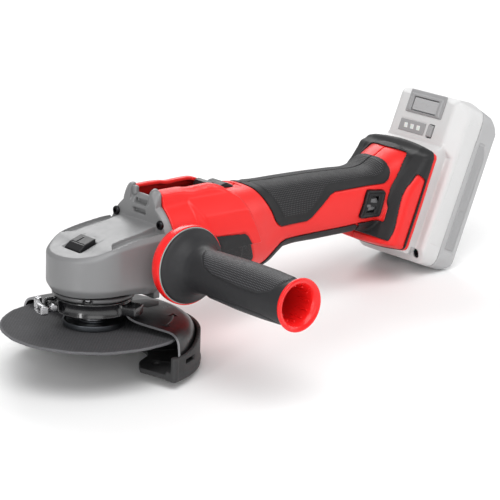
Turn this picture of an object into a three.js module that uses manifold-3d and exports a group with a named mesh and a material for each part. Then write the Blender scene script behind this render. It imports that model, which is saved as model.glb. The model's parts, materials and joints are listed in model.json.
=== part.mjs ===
// Cordless angle grinder for 125 mm discs, in millimetres, built as separate pieces.
//
// Every piece is modelled in the tool's own frame: the origin is where the spindle axis meets the
// top face of the disc, +Z runs up the spindle, +X runs back along the motor to the battery, and
// the side handle points along -Y. The battery end is modelled in a rail frame turned by RAIL_TILT
// about Y, where x is the distance behind the spindle and z runs up the battery rail. At the end the
// whole tool is pitched nose-up until it stands on its guard cover and its battery.

import * as THREE from 'three';
import { mergeVertices } from 'three/addons/utils/BufferGeometryUtils.js';
import Module from 'manifold-3d';

const wasm = await Module();
wasm.setup();

// ---------------------------------------------------------------- driving dimensions

const GAP = 0.3;                       // clearance between touching pieces

const DISC_RADIUS = 62.5;
const DISC_THICKNESS = 1.8;
const DISC_BORE = 11.1;
const FLANGE_RADIUS = 20.6;
const SPINDLE_RADIUS = 6.8;
const NUT_RADIUS = 22;
const NUT_HEIGHT = 8;

const MOTOR_AXIS_Z = 50;               // height of the rotor axis above the disc
const SEAM_X = 42;                     // joint between gear head and motor housing
const BARREL_RADIUS = 34;
const SHELL = 2.6;                     // wall of the plastic housing

const GEAR_TEETH = 22;
const PINION_TEETH = 8;
const GEAR_MID_RADIUS = 17;            // where the ring gear meets the pinion
const PINION_MID_RADIUS = GEAR_MID_RADIUS * PINION_TEETH / GEAR_TEETH;

const BAND_RADIUS = 26.5;              // outside of the guard's clamp band
const BAND_LOW = 10.7;
const BAND_HIGH = 20.6;
const GUARD_RADIUS = 68.8;
const COVER_RADIUS = 72;
const COVER_BOTTOM = -25;
const GUARD_START = -70;               // the guard's covered sector, in degrees about the spindle
const COVER_START = -79;
const GUARD_END = 98;
const CLAMP_ANGLE = 161;

const HANDLE_X = 38.5;
const HANDLE_Z = 47;
const BOSS_RADIUS = 13;
const BOSS_REACH = 39;
const RING_RADIUS = 26.5;
const HANDLE_END = -163.3;

const GRIP_END_X = 250;
const RAIL_TILT = THREE.MathUtils.degToRad(22.3);
const FOOT_BACK = 226;                 // rail frame: rear plane of the foot
const FOOT_LOW = 113;
const FOOT_HIGH = 186;
const FOOT_HALF = 37;

const PACK_LOW = 108;                  // rail frame: the battery's body
const PACK_HIGH = 231;
const PACK_FACE = 234;                 // front face above the foot
const PACK_FRONT = 241;                // front face behind the rail
const PACK_SPLIT = 258;
const PACK_BACK = 275.5;
const PACK_HALF = 37;
const PACK_WALL = 1.6;
const CELL_RADIUS = 10.5;
const CELL_HALF_LENGTH = 35;

const ROUND = 28;                      // facets round a large circle
const SMALL_ROUND = 14;

// ---------------------------------------------------------------- materials

function paint(color, roughness, metalness = 0) {
  return new THREE.MeshStandardMaterial({ color, roughness, metalness });
}

const CAST_GREY = paint(0x8a8c8f, 0.45, 0.6);
const HOUSING_RED = paint(0xe6261f, 0.4);
const SOFT_BLACK = paint(0x26272a, 0.8);
const HARD_BLACK = paint(0x1c1d1f, 0.5);
const GUARD_BLACK = paint(0x141416, 0.3, 0.6);
const BRIGHT_STEEL = paint(0xb9bcc2, 0.25, 1);
const DARK_STEEL = paint(0x55585e, 0.4, 0.9);
const ABRASIVE = paint(0x303133, 0.95);
const COPPER = paint(0xb5652c, 0.4, 0.9);
const PACK_LIGHT = paint(0xe0e0e0, 0.5);
const PACK_GREY = paint(0xbfbfc0, 0.5);
const CELL_WRAP = paint(0x3c7dc0, 0.5);
const BOARD_GREEN = paint(0x2f6b3a, 0.6);

// ---------------------------------------------------------------- solids

function volumeOf(geometry) {
  const position = geometry.attributes.position;
  const index = geometry.index.array;
  const a = new THREE.Vector3();
  const b = new THREE.Vector3();
  const c = new THREE.Vector3();
  let sum = 0;
  for (let i = 0; i < index.length; i += 3) {
    a.fromBufferAttribute(position, index[i]);
    b.fromBufferAttribute(position, index[i + 1]);
    c.fromBufferAttribute(position, index[i + 2]);
    sum += a.dot(b.cross(c));
  }
  return sum / 6;
}

function dropFlatTriangles(index) {
  const kept = [];
  for (let i = 0; i < index.length; i += 3) {
    const [a, b, c] = [index[i], index[i + 1], index[i + 2]];
    if (a !== b && b !== c && c !== a) kept.push(a, b, c);
  }
  return kept;
}

// A closed geometry with shared vertices and outward faces.
function welded(source) {
  const bare = source.clone();
  bare.deleteAttribute('normal');
  bare.deleteAttribute('uv');
  const merged = mergeVertices(bare, 1e-4);
  merged.setIndex(dropFlatTriangles(merged.index.array));
  if (volumeOf(merged) < 0) merged.setIndex(Array.from(merged.index.array).reverse());
  return merged;
}

function solid(source) {
  const shape = welded(source);
  const mesh = new wasm.Mesh({
    numProp: 3,
    vertProperties: new Float32Array(shape.attributes.position.array),
    triVerts: new Uint32Array(shape.index.array),
  });
  return new wasm.Manifold(mesh);
}

function geometryOf(body) {
  const mesh = body.getMesh();
  const geometry = new THREE.BufferGeometry();
  geometry.setAttribute('position', new THREE.BufferAttribute(mesh.vertProperties, 3));
  geometry.setIndex(Array.from(mesh.triVerts));
  return geometry;
}

function span(side, near, far) {
  return [Math.min(near * side, far * side), Math.max(near * side, far * side)];
}

function cut(body, ...tools) {
  return tools.reduce((rest, tool) => rest.subtract(tool), body);
}

function join(body, ...others) {
  return others.reduce((sum, other) => sum.add(other), body);
}

function block([x0, x1], [y0, y1], [z0, z1]) {
  const box = new THREE.BoxGeometry(x1 - x0, y1 - y0, z1 - z0);
  return solid(box.translate((x0 + x1) / 2, (y0 + y1) / 2, (z0 + z1) / 2));
}

const EXTRUDE_BASES = {
  x: [new THREE.Vector3(0, 1, 0), new THREE.Vector3(0, 0, 1), new THREE.Vector3(1, 0, 0)],
  y: [new THREE.Vector3(1, 0, 0), new THREE.Vector3(0, 0, 1), new THREE.Vector3(0, -1, 0)],
  z: [new THREE.Vector3(1, 0, 0), new THREE.Vector3(0, 1, 0), new THREE.Vector3(0, 0, 1)],
};

// An outline extruded along an axis. Its points are (y, z) for x, (x, z) for y and (x, y) for z.
function prism(axis, outline, from, to) {
  const shape = new THREE.Shape(outline.map(([u, v]) => new THREE.Vector2(u, v)));
  const geometry = new THREE.ExtrudeGeometry(shape, { depth: to - from, bevelEnabled: false });
  const matrix = new THREE.Matrix4().makeBasis(...EXTRUDE_BASES[axis]);
  const start = { x: [from, 0, 0], y: [0, to, 0], z: [0, 0, from] }[axis];
  matrix.setPosition(...start);
  return solid(geometry.applyMatrix4(matrix));
}

const LATHE_TURNS = {
  x: (g) => g.rotateZ(-Math.PI / 2),
  y: (g) => g,
  z: (g) => g.rotateX(Math.PI / 2),
};

// A profile of (radius, height) points turned about an axis through (x, y, z).
function turned(axis, profile, [x, y, z] = [0, 0, 0], segments = ROUND) {
  const closed = profile[0][0] > 0 ? [...profile, profile[0]] : profile;
  const points = closed.map(([r, h]) => new THREE.Vector2(r, h));
  const geometry = LATHE_TURNS[axis](new THREE.LatheGeometry(points, segments));
  return solid(geometry.translate(x, y, z));
}

function rod(axis, radius, from, to, centre = [0, 0, 0], segments = SMALL_ROUND) {
  return turned(axis, [[0, from], [radius, from], [radius, to], [0, to]], centre, segments);
}

function sleeve(axis, inner, outer, from, to, centre = [0, 0, 0], segments = ROUND) {
  const profile = [[inner, from], [outer, from], [outer, to], [inner, to]];
  return turned(axis, profile, centre, segments);
}

// A skin through closed sections that all have the same number of (x, y, z) points.
function loft(sections) {
  const count = sections[0].length;
  const centre = (ring) => ring.reduce((sum, p) => sum.add(p), new THREE.Vector3()).divideScalar(count);
  const points = [...sections.flat(), centre(sections[0]), centre(sections.at(-1))];
  const index = [];
  for (let s = 0; s + 1 < sections.length; s += 1) {
    for (let i = 0; i < count; i += 1) {
      const a = s * count + i;
      const b = s * count + (i + 1) % count;
      index.push(a, b, b + count, a, b + count, a + count);
    }
  }
  const last = (sections.length - 1) * count;
  for (let i = 0; i < count; i += 1) {
    const next = (i + 1) % count;
    index.push(points.length - 2, next, i, points.length - 1, last + i, last + next);
  }
  const geometry = new THREE.BufferGeometry().setFromPoints(points);
  geometry.setIndex(index);
  return solid(geometry);
}

// A rounded box section in a plane of constant x: power 1 is an ellipse, smaller is squarer.
function roundedSection({ x, half, low, high, power = 0.75 }, grow = 0, count = 24) {
  const bend = (value) => Math.sign(value) * Math.abs(value) ** power;
  return Array.from({ length: count }, (_, i) => {
    const angle = (i + 0.5) / count * Math.PI * 2;
    const y = (half + grow) * bend(Math.cos(angle));
    const z = (low + high) / 2 + ((high - low) / 2 + grow) * bend(Math.sin(angle));
    return new THREE.Vector3(x, y, z);
  });
}

function roundedRect(width, height, radius, [u, v] = [0, 0], steps = 4) {
  const corners = [[1, 1, 0], [-1, 1, 90], [-1, -1, 180], [1, -1, 270]];
  return corners.flatMap(([su, sv, start]) => Array.from({ length: steps + 1 }, (_, i) => {
    const angle = THREE.MathUtils.degToRad(start + 90 * i / steps);
    const cu = u + su * (width / 2 - radius);
    const cv = v + sv * (height / 2 - radius);
    return [cu + radius * Math.cos(angle), cv + radius * Math.sin(angle)];
  }));
}

function turnAboutZ(body, degrees) {
  return body.rotate([0, 0, degrees]);
}

// A wedge about the spindle that covers the angles from start to end.
function sector(start, end, radius, low, high) {
  const steps = 12;
  const arc = Array.from({ length: steps + 1 }, (_, i) => {
    const angle = THREE.MathUtils.degToRad(start + (end - start) * i / steps);
    return [radius * Math.cos(angle), radius * Math.sin(angle)];
  });
  return prism('z', [[0, 0], ...arc], low, high);
}

// Rail frame to tool frame.
function fromRail(body) {
  return body.rotate([0, THREE.MathUtils.radToDeg(RAIL_TILT), 0]);
}

// ---------------------------------------------------------------- the assembly

const tool = new THREE.Group();
const rail = new THREE.Group();
rail.rotation.y = RAIL_TILT;
tool.add(rail);

function addPiece(name, body, material, group = tool) {
  const mesh = new THREE.Mesh(geometryOf(body), material);
  mesh.name = name;
  group.add(mesh);
}

// ---------------------------------------------------------------- gear head

// Half sections of the cast head: x, widest half width, bottom, shoulder, roof, roof half width.
const HEAD_STATIONS = [
  { x: -32, half: 6, bottom: 27, shoulder: 49, roof: 50, crown: 3 },
  { x: -30, half: 12, bottom: 25.4, shoulder: 50, roof: 51.5, crown: 8 },
  { x: -24, half: 21.5, bottom: 25, shoulder: 51.5, roof: 53, crown: 13 },
  { x: -14, half: 29, bottom: 25, shoulder: 53.5, roof: 57, crown: 15.5 },
  { x: -4, half: 32.5, bottom: 25, shoulder: 55.5, roof: 60.5, crown: 16.5 },
  { x: 10, half: 33.5, bottom: 25, shoulder: 58, roof: 66, crown: 17 },
  { x: 28, half: 34, bottom: 25, shoulder: 61, roof: 73, crown: 17.5 },
  { x: 38, half: 34, bottom: 19, shoulder: 62, roof: 87.5, crown: 18 },
  { x: SEAM_X, half: 34, bottom: 17, shoulder: 63, roof: 89.5, crown: 18 },
];

function headSection({ x, half, bottom, shoulder, roof, crown }) {
  const chamfer = 4.5;
  const right = [
    [half - chamfer, bottom],
    [half, bottom + chamfer],
    [half, shoulder],
    [crown, roof],
  ];
  const left = right.map(([y, z]) => [-y, z]).reverse();
  return [...right, ...left].map(([y, z]) => new THREE.Vector3(x, y, z));
}

function lockWell() {
  const outline = [[-18.6, 48.5], [-4.6, 54], [-4.6, 70], [-18.6, 70]];
  return prism('y', outline, -8.7, 8.7);
}

function headTrough() {
  const outline = [
    [-4.6, 57.8], [23, 67.5], [28, 68.5], [33, 73.5], [38.5, 84], [50, 84], [50, 99], [-4.6, 99],
  ];
  return prism('y', outline, -9.5, 9.5);
}

function airSlots() {
  const upper = block([25, 50], [-6.5, 6.5], [76, 79.5]);
  const lower = block([25, 50], [-6.5, 6.5], [70.3, 72.6]);
  return join(upper, lower);
}

function gearHousing() {
  const shell = loft(HEAD_STATIONS.map(headSection));
  const bosses = [-1, 1].map((side) => rod('y', BOSS_RADIUS, ...span(side, 22, BOSS_REACH),
    [HANDLE_X, 0, HANDLE_Z], 24));
  const gearRoom = turned('z', [[0, 15], [21, 15], [21, 47], [9.5, 47], [9.5, 43.8], [0, 43.8]]);
  const bushSeat = rod('z', 7.3, 40, 50.3);
  const pinionBore = rod('x', 9.5, 8.5, 30, [0, 0, MOTOR_AXIS_Z]);
  const bearingSeat = rod('x', 11.3, 27, 60, [0, 0, MOTOR_AXIS_Z], 24);
  const pinHole = rod('z', 2.1, 40, 56, [-11.8, 0, 0], 12);
  const handleThreads = [-1, 1].map((side) => rod('y', 4, ...span(side, 23, 50),
    [HANDLE_X, 0, HANDLE_Z], 12));
  const rearSpace = rod('x', 28, 39.4, 60, [0, 0, MOTOR_AXIS_Z], 24);
  return cut(join(shell, ...bosses), gearRoom, bushSeat, pinionBore, bearingSeat, pinHole, lockWell(),
    headTrough(), airSlots(), rearSpace, ...handleThreads, ...capScrewHoles(), ...headScrewHoles());
}

const CAP_SCREW_CIRCLE = 25.3;
const CAP_SCREW_ANGLES = [45, 135, 225, 315];

function aboutSpindle(body, radius, degrees) {
  return turnAboutZ(body.translate([radius, 0, 0]), degrees);
}

function capScrewHoles() {
  return CAP_SCREW_ANGLES.map((angle) => aboutSpindle(rod('z', 1.9, 18, 33.6, [0, 0, 0], 8),
    CAP_SCREW_CIRCLE, angle));
}

function capScrew(angle) {
  const profile = [[0, 22.4], [2.1, 22.4], [2.1, 24], [1.5, 24], [1.5, 33], [0, 33]];
  return aboutSpindle(turned('z', profile, [0, 0, 0], 8), CAP_SCREW_CIRCLE, angle);
}

function bearingCap() {
  const profile = [
    [16.3, 28], [16.3, 13], [11, 13], [11, 5.4], [18.6, 5.4], [18.6, 10.4], [23.4, 10.4],
    [23.4, 21.6], [28, 21.6], [28, 24.7], [20.6, 24.7], [20.6, 28],
  ];
  const headRoom = CAP_SCREW_ANGLES.map((angle) => aboutSpindle(rod('z', 2.4, 18, 24.3, [0, 0, 0], 8),
    CAP_SCREW_CIRCLE, angle));
  return cut(turned('z', profile), ...capScrewHoles(), ...headRoom);
}

const HEAD_SCREW_PLACES = [[-24, 68], [24, 68], [-25.5, 28], [25.5, 28]];

function headScrewHoles() {
  return HEAD_SCREW_PLACES.flatMap(([y, z]) => [
    rod('x', 1.9, 30, 60, [0, y, z], 8),
    rod('x', 3.3, 8, 37, [0, y, z], 12),
  ]);
}

function headScrew([y, z]) {
  const profile = [[0, 34.5], [2.9, 34.5], [2.9, 36.7], [1.6, 36.7], [1.6, 54], [0, 54]];
  return turned('x', profile, [0, y, z], 12);
}

function lockButton() {
  const outline = [[-18.3, 52.2], [-4.9, 57.5], [-4.9, 61.6], [-14, 58.6], [-18.3, 54.6]];
  const pin = rod('z', 1.8, 41, 56, [-11.8, 0, 0], 12);
  return join(prism('y', outline, -8.4, 8.4), pin);
}

function buildGearHead() {
  addPiece('gear_housing', gearHousing(), CAST_GREY);
  addPiece('bearing_cap', bearingCap(), CAST_GREY);
  CAP_SCREW_ANGLES.forEach((angle, i) => addPiece(`cap_screw_${i + 1}`, capScrew(angle), DARK_STEEL));
  HEAD_SCREW_PLACES.forEach((place, i) => addPiece(`head_screw_${i + 1}`, headScrew(place), DARK_STEEL));
  addPiece('lock_button', lockButton(), HARD_BLACK);
}

// ---------------------------------------------------------------- spindle, gears and disc

function radialTooth(length, height, rootWidth, tipWidth) {
  const root = rootWidth / 2;
  const tip = tipWidth / 2;
  const outline = [[-root, 0], [root, 0], [tip, height], [-tip, height]];
  return prism('x', outline, 0, length);
}

const CONE_DROP = PINION_MID_RADIUS / GEAR_MID_RADIUS;   // slope of the pitch cone

function ringGear() {
  const rootZ = MOTOR_AXIS_Z - PINION_MID_RADIUS - 1.5;
  const inner = 14.5;
  const outer = 19.6;
  const profile = [
    [7.5, 31], [15, 31], [19.8, 36], [outer, rootZ - CONE_DROP * (outer - GEAR_MID_RADIUS)],
    [inner, rootZ - CONE_DROP * (inner - GEAR_MID_RADIUS)], [inner - 0.4, 39.6], [7.5, 39.6],
  ];
  const body = turned('z', profile);
  const tooth = radialTooth(outer - inner, 2.4, 2.1, 1.1)
    .rotate([0, THREE.MathUtils.radToDeg(Math.atan(CONE_DROP)), 0])
    .translate([inner + 0.1, 0, rootZ - CONE_DROP * (inner - GEAR_MID_RADIUS) - 0.4]);
  const teeth = Array.from({ length: GEAR_TEETH }, (_, i) => turnAboutZ(tooth, 360 * i / GEAR_TEETH));
  const pinHole = rod('z', 2.4, 30, 45, [0, 0, 0], 10);
  const pinHoles = [0, 90, 180, 270].map((angle) => aboutSpindle(pinHole, 11.8, angle));
  return cut(join(body, ...teeth), ...pinHoles);
}

function pinion() {
  const front = 14.6;
  const back = 19.5;
  const root = (x) => x * CONE_DROP - 1.5;
  const profile = [
    [4.2, 11], [root(front) - 0.6, 11], [root(front), front], [root(back), back],
    [root(back), 23.6], [4.2, 23.6],
  ];
  const body = turned('x', profile, [0, 0, 0], 24);
  const tooth = radialTooth(back - front, 2.2, 2.1, 1.1)
    .rotate([0, -THREE.MathUtils.radToDeg(Math.atan(CONE_DROP)), 0])
    .translate([front, 0, root(front) - 0.3]);
  const pitch = 360 / PINION_TEETH;
  const teeth = Array.from({ length: PINION_TEETH }, (_, i) => tooth.rotate([pitch * (i + 0.5), 0, 0]));
  return join(body, ...teeth).translate([0, 0, MOTOR_AXIS_Z]);
}

function spindle() {
  const profile = [
    [0, -9.5], [SPINDLE_RADIUS, -9.5], [SPINDLE_RADIUS, 4.4], [8.6, 4.4], [8.6, 12.4], [7.2, 12.4],
    [7.2, 43.4], [3.8, 43.4], [3.8, 49.8], [0, 49.8],
  ];
  return turned('z', profile, [0, 0, 0], 24);
}

function innerFlange() {
  const profile = [
    [7.1, -1.5], [10.8, -1.5], [10.8, 0.25], [FLANGE_RADIUS, 0.25], [FLANGE_RADIUS, 4.1], [7.1, 4.1],
  ];
  return turned('z', profile);
}

function cuttingDisc() {
  return sleeve('z', DISC_BORE, DISC_RADIUS, -DISC_THICKNESS, -0.05, [0, 0, 0], 48);
}

function quickNut() {
  const top = -DISC_THICKNESS - GAP;
  const body = sleeve('z', 7.1, NUT_RADIUS, top - NUT_HEIGHT, top);
  const keyHoles = [0, 180].map((angle) => aboutSpindle(
    rod('z', 2.5, top - NUT_HEIGHT - 1, top - NUT_HEIGHT + 5, [0, 0, 0], 10), 15, angle));
  return cut(body, ...keyHoles);
}

function buildSpindle() {
  addPiece('spindle', spindle(), DARK_STEEL);
  addPiece('ring_gear', ringGear(), DARK_STEEL);
  addPiece('inner_flange', innerFlange(), DARK_STEEL);
  addPiece('cutting_disc', cuttingDisc(), ABRASIVE);
  addPiece('quick_nut', quickNut(), HARD_BLACK);
  addPiece('lower_spindle_bearing', sleeve('z', 7.5, 16, 13.3, 22.3), BRIGHT_STEEL);
  addPiece('upper_spindle_bearing', sleeve('z', 4.1, 7, 44.2, 50, [0, 0, 0], 24), BRIGHT_STEEL);
}

// ---------------------------------------------------------------- guard

function guardSheet() {
  const wall = 1.6;
  const profile = [
    [27, 11.5], [31, 9], [38, 7.2], [61, 5.2], [68, -1.4], [GUARD_RADIUS, -12],
    [GUARD_RADIUS - wall, -12], [66.4, -2.1], [60.4, 3.6], [38, 5.6], [30.4, 7.4], [27, 9.4],
  ];
  const full = turned('z', profile, [0, 0, 0], 40);
  return full.intersect(sector(GUARD_START, GUARD_END, 90, -30, 30));
}

function clampBand() {
  const band = sleeve('z', 23.9, BAND_RADIUS, BAND_LOW, BAND_HIGH);
  const split = turnAboutZ(block([15, 40], [-2.5, 2.5], [0, 30]), CLAMP_ANGLE);
  const ears = [-1, 1].map((side) => {
    const ear = block([25.5, 33], span(side, 2.5, 5), [11.6, 19.8]);
    return turnAboutZ(ear, CLAMP_ANGLE);
  });
  const boltHole = turnAboutZ(rod('y', 2.1, -12, 12, [30, 0, 15.6], 10), CLAMP_ANGLE);
  const catchTab = turnAboutZ(block([26, 36.4], [-7, 6.4], [11.8, 18.2]), -68);
  return cut(join(cut(band, split), ...ears, catchTab), boltHole);
}

function clampBolt() {
  const profile = [
    [0, -8.2], [3.1, -8.2], [3.1, -5.3], [1.8, -5.3], [1.8, 5.3], [3.1, 5.3], [3.1, 8.2], [0, 8.2],
  ];
  return turnAboutZ(turned('y', profile, [30, 0, 15.6], 10), CLAMP_ANGLE);
}

function clampLever() {
  const outline = [[35, -9], [38, -9], [39.4, 4], [38, 13], [35.6, 13], [36.2, 4], [35, -2]];
  return turnAboutZ(prism('z', outline, 12.4, 18.8), CLAMP_ANGLE);
}

function guardCover() {
  const profile = [
    [69.4, -3], [COVER_RADIUS, -3], [COVER_RADIUS, COVER_BOTTOM], [37, COVER_BOTTOM],
    [37, -21], [69.4, -21],
  ];
  const full = turned('z', profile, [0, 0, 0], 40);
  return full.intersect(sector(COVER_START, GUARD_END, 90, -30, 30));
}

function buildGuard() {
  addPiece('guard', guardSheet(), GUARD_BLACK);
  addPiece('clamp_band', clampBand(), GUARD_BLACK);
  addPiece('clamp_bolt', clampBolt(), BRIGHT_STEEL);
  addPiece('clamp_lever', clampLever(), BRIGHT_STEEL);
  addPiece('guard_cover', guardCover(), HARD_BLACK);
}

// ---------------------------------------------------------------- side handle

const HANDLE_AXIS = [HANDLE_X, 0, HANDLE_Z];

function handleGrip() {
  const profile = [
    [3.9, -40], [11.4, -40], [11.4, -54.4], [25.5, -54.4], [25.5, -56.4], [20.5, -60], [16.6, -64.5],
    [14.8, -71], [15.2, -90], [16, -112], [15.8, -135], [15, -153], [15, -161.1], [13.5, -161.1],
    [13.5, -76], [3.9, -74],
  ];
  return turned('y', profile, HANDLE_AXIS, 20);
}

function handleCap() {
  const profile = [
    [11.8, HANDLE_END], [17.8, HANDLE_END], [17.8, -161.5], [13.2, -161.5], [13.2, -120], [11.8, -120],
  ];
  return turned('y', profile, HANDLE_AXIS, 20);
}

function handleStud() {
  return rod('y', 3.6, -70, -24.5, HANDLE_AXIS, 12);
}

function buildHandle() {
  addPiece('handle_grip', handleGrip(), SOFT_BLACK);
  addPiece('handle_ring', sleeve('y', 11.8, RING_RADIUS, -54, -47.4, HANDLE_AXIS), HOUSING_RED);
  addPiece('handle_cap', handleCap(), HOUSING_RED);
  addPiece('handle_stud', handleStud(), BRIGHT_STEEL);
}

// ---------------------------------------------------------------- motor housing and grip

const SHELL_STATIONS = [
  { x: SEAM_X + GAP, half: BARREL_RADIUS, low: 16.5, high: 85, power: 0.85 },
  { x: 90, half: 33.5, low: 17.5, high: 85, power: 0.85 },
  { x: 108, half: 31.5, low: 21, high: 84.2, power: 0.8 },
  { x: 120, half: 26.5, low: 28, high: 83, power: 0.75 },
  { x: 132, half: 22.5, low: 33.6, high: 81.8, power: 0.72 },
  { x: 165, half: 21.2, low: 36.5, high: 80.4, power: 0.72 },
  { x: 205, half: 21.5, low: 38.5, high: 79, power: 0.72 },
  { x: 232, half: 22.5, low: 37.5, high: 78.5, power: 0.72 },
  { x: GRIP_END_X, half: 24, low: 37, high: 84, power: 0.72 },
];

// Foot sections in the rail frame.
const FOOT_STATIONS = [
  { x: 196.5, half: 18, low: 114.5, high: 183, power: 0.35 },
  { x: 203, half: 26.5, low: FOOT_LOW, high: 185.5, power: 0.35 },
  { x: 214, half: FOOT_HALF, low: FOOT_LOW, high: FOOT_HIGH, power: 0.35 },
  { x: FOOT_BACK, half: FOOT_HALF, low: FOOT_LOW, high: FOOT_HIGH, power: 0.35 },
];

function shellLoft(grow) {
  const stations = SHELL_STATIONS.map((station) => ({ ...station }));
  if (grow < 0) {
    stations[0].x -= 5;
    stations.at(-1).x += 5;
  }
  return loft(stations.map((station) => roundedSection(station, grow)));
}

function footLoft(grow) {
  const stations = FOOT_STATIONS.map((station) => ({ ...station }));
  if (grow < 0) stations.at(-1).x += grow;
  return fromRail(loft(stations.map((station) => roundedSection(station, grow, 28))));
}

// Raised shoulders either side of the switch track.
function topRidges() {
  const outline = [[SEAM_X + GAP, 60], [SEAM_X + GAP, 88.5], [48, 90], [80, 89.4], [96, 84], [96, 60]];
  return join(prism('y', outline, -18, -9.5), prism('y', outline, 9.5, 18));
}

function switchTrack() {
  const well = block([79, 119], [-8.9, 8.9], [79.6, 99]);
  const slot = block([97, 115], [-3.2, 3.2], [60, 99]);
  return join(well, slot);
}

function dialWindow() {
  return block([226.4, 241], [-40, -15], [44.4, 64]);
}

function sidePanelOutline(grow) {
  return [
    [75 - grow, 38.5 - grow], [75 - grow, 52 + grow], [81, 58 + grow], [101 + grow, 55.5 + grow],
    [112 + 2 * grow, 38.5 - grow],
  ];
}

function sidePanelRecess(side) {
  const slab = prism('y', sidePanelOutline(GAP), ...span(side, 25, 50));
  return cut(slab, shellLoft(-1.3));
}

function ventSlots() {
  const slots = [];
  for (let i = 0; i < 4; i += 1) {
    const x = 52 + i * 5;
    slots.push(block([x, x + 2.2], [-50, -20], [26, 38]));
    slots.push(block([x, x + 2.2], [20, 50], [26, 38]));
  }
  return join(...slots);
}

function bossClearance() {
  return rod('y', BOSS_RADIUS + 1, -60, 60, HANDLE_AXIS, 24);
}

function motorHousing() {
  const outer = join(shellLoft(0), footLoft(0), topRidges());
  const inner = join(shellLoft(-SHELL), footLoft(-SHELL));
  const terminalPort = fromRail(block([FOOT_BACK - 8, FOOT_BACK + 5], [-17, 17], [120, 176]));
  const screwHoles = HEAD_SCREW_PLACES.map(([y, z]) => rod('x', 1.9, 40, 56, [0, y, z], 8));
  return cut(outer, inner, terminalPort, switchTrack(), dialWindow(), sidePanelRecess(-1),
    sidePanelRecess(1), ventSlots(), bossClearance(), ...screwHoles);
}

const FAR = 400;

function halfSpace(side) {
  return block([-FAR, FAR], side < 0 ? [-FAR, -0.15] : [0.15, FAR], [-FAR, FAR]);
}

// The rubber top cover's outline, seen from the side.
const GRIP_COVER_OUTLINE = [
  [117, 100], [117, 86], [128, 74], [136, 62], [142, 51.5], [169.5, 51.5], [176, 56], [188, 67.5],
  [238, 68], [238, 100],
];

function gripCover() {
  const skin = cut(shellLoft(1.5), shellLoft(GAP), footLoft(GAP));
  return skin.intersect(prism('y', GRIP_COVER_OUTLINE, -60, 60));
}

function bellyStrip() {
  const skin = cut(shellLoft(1.3), shellLoft(GAP), footLoft(GAP));
  return skin.intersect(prism('y', [[136, 20], [136, 36], [152, 40.5], [206, 42], [206, 20]], -12, 12));
}

function footBumper() {
  const skin = cut(footLoft(2), footLoft(GAP), shellLoft(1.9));
  return skin.intersect(fromRail(block([203.5, 219], [-60, 60], [90, 200])));
}

function sidePanel(side) {
  const slab = prism('y', sidePanelOutline(0), ...span(side, 25, 40));
  return slab.intersect(cut(shellLoft(0), shellLoft(-1)));
}

const DIAL_CENTRE = [234, -16, 54];

function dialBezel() {
  const frame = block([226.7, 240.7], [-24.6, -21], [44.7, 63.7]);
  return cut(frame, block([229.7, 237.7], [-30, -10], [47.5, 61]));
}

function speedDial() {
  return sleeve('x', 1.6, 7.5, -3.5, 3.5, DIAL_CENTRE, 24);
}

function slideSwitch() {
  const outline = [[92, 79.9], [117.7, 79.9], [117.7, 83.6], [108, 86.2], [96, 86.8], [92, 84]];
  return prism('y', outline, -8.5, 8.5);
}

function switchLink() {
  const neck = block([106, 114], [-2.6, 2.6], [75.4, 79.6]);
  const arm = block([106, 160], [-2.6, 2.6], [75.4, 77.6]);
  return join(neck, arm);
}

function buildHousing() {
  const housing = motorHousing();
  addPiece('motor_housing_left', housing.intersect(halfSpace(1)), HOUSING_RED);
  addPiece('motor_housing_right', housing.intersect(halfSpace(-1)), HOUSING_RED);
  addPiece('grip_cover', gripCover(), SOFT_BLACK);
  addPiece('belly_strip', bellyStrip(), HARD_BLACK);
  addPiece('foot_bumper', footBumper(), SOFT_BLACK);
  addPiece('side_panel_left', sidePanel(1), HARD_BLACK);
  addPiece('side_panel_right', sidePanel(-1), HARD_BLACK);
  addPiece('dial_bezel', dialBezel(), HARD_BLACK);
  addPiece('speed_dial', speedDial(), HARD_BLACK);
  addPiece('slide_switch', slideSwitch(), HARD_BLACK);
  addPiece('switch_link', switchLink(), HARD_BLACK);
  addPiece('switch_unit', block([150, 176], [-9, 9], [56, 74]), HARD_BLACK);
  addPiece('controller', block([182, 216], [-13, 13], [46, 58]), BOARD_GREEN);
}

// ---------------------------------------------------------------- motor

function fan() {
  const hub = sleeve('x', 4.2, 8, 44.5, 54.5, [0, 0, MOTOR_AXIS_Z], 20);
  const plate = sleeve('x', 7, 27, 44.5, 46, [0, 0, MOTOR_AXIS_Z], 28);
  const blades = Array.from({ length: 9 }, (_, i) => block([45.5, 54.5], [-0.7, 0.7], [7, 26.5])
    .rotate([40 * i, 0, 0]).translate([0, 0, MOTOR_AXIS_Z]));
  return join(hub, plate, ...blades);
}

function statorWindings() {
  const profile = [
    [15, 57], [25, 57], [25, 63.4], [17, 63.4], [17, 92.6], [25, 92.6], [25, 98.6], [15, 98.6],
  ];
  return turned('x', profile, [0, 0, MOTOR_AXIS_Z], 24);
}

function motorEndFrame() {
  const plate = sleeve('x', 9.8, 24.5, 100, 108, [0, 0, MOTOR_AXIS_Z], 24);
  const airWays = [45, 135, 225, 315].map((angle) => rod('x', 5, 90, 120, [0, 0, 18], 10)
    .rotate([angle, 0, 0]).translate([0, 0, MOTOR_AXIS_Z]));
  return cut(plate, ...airWays);
}

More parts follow.
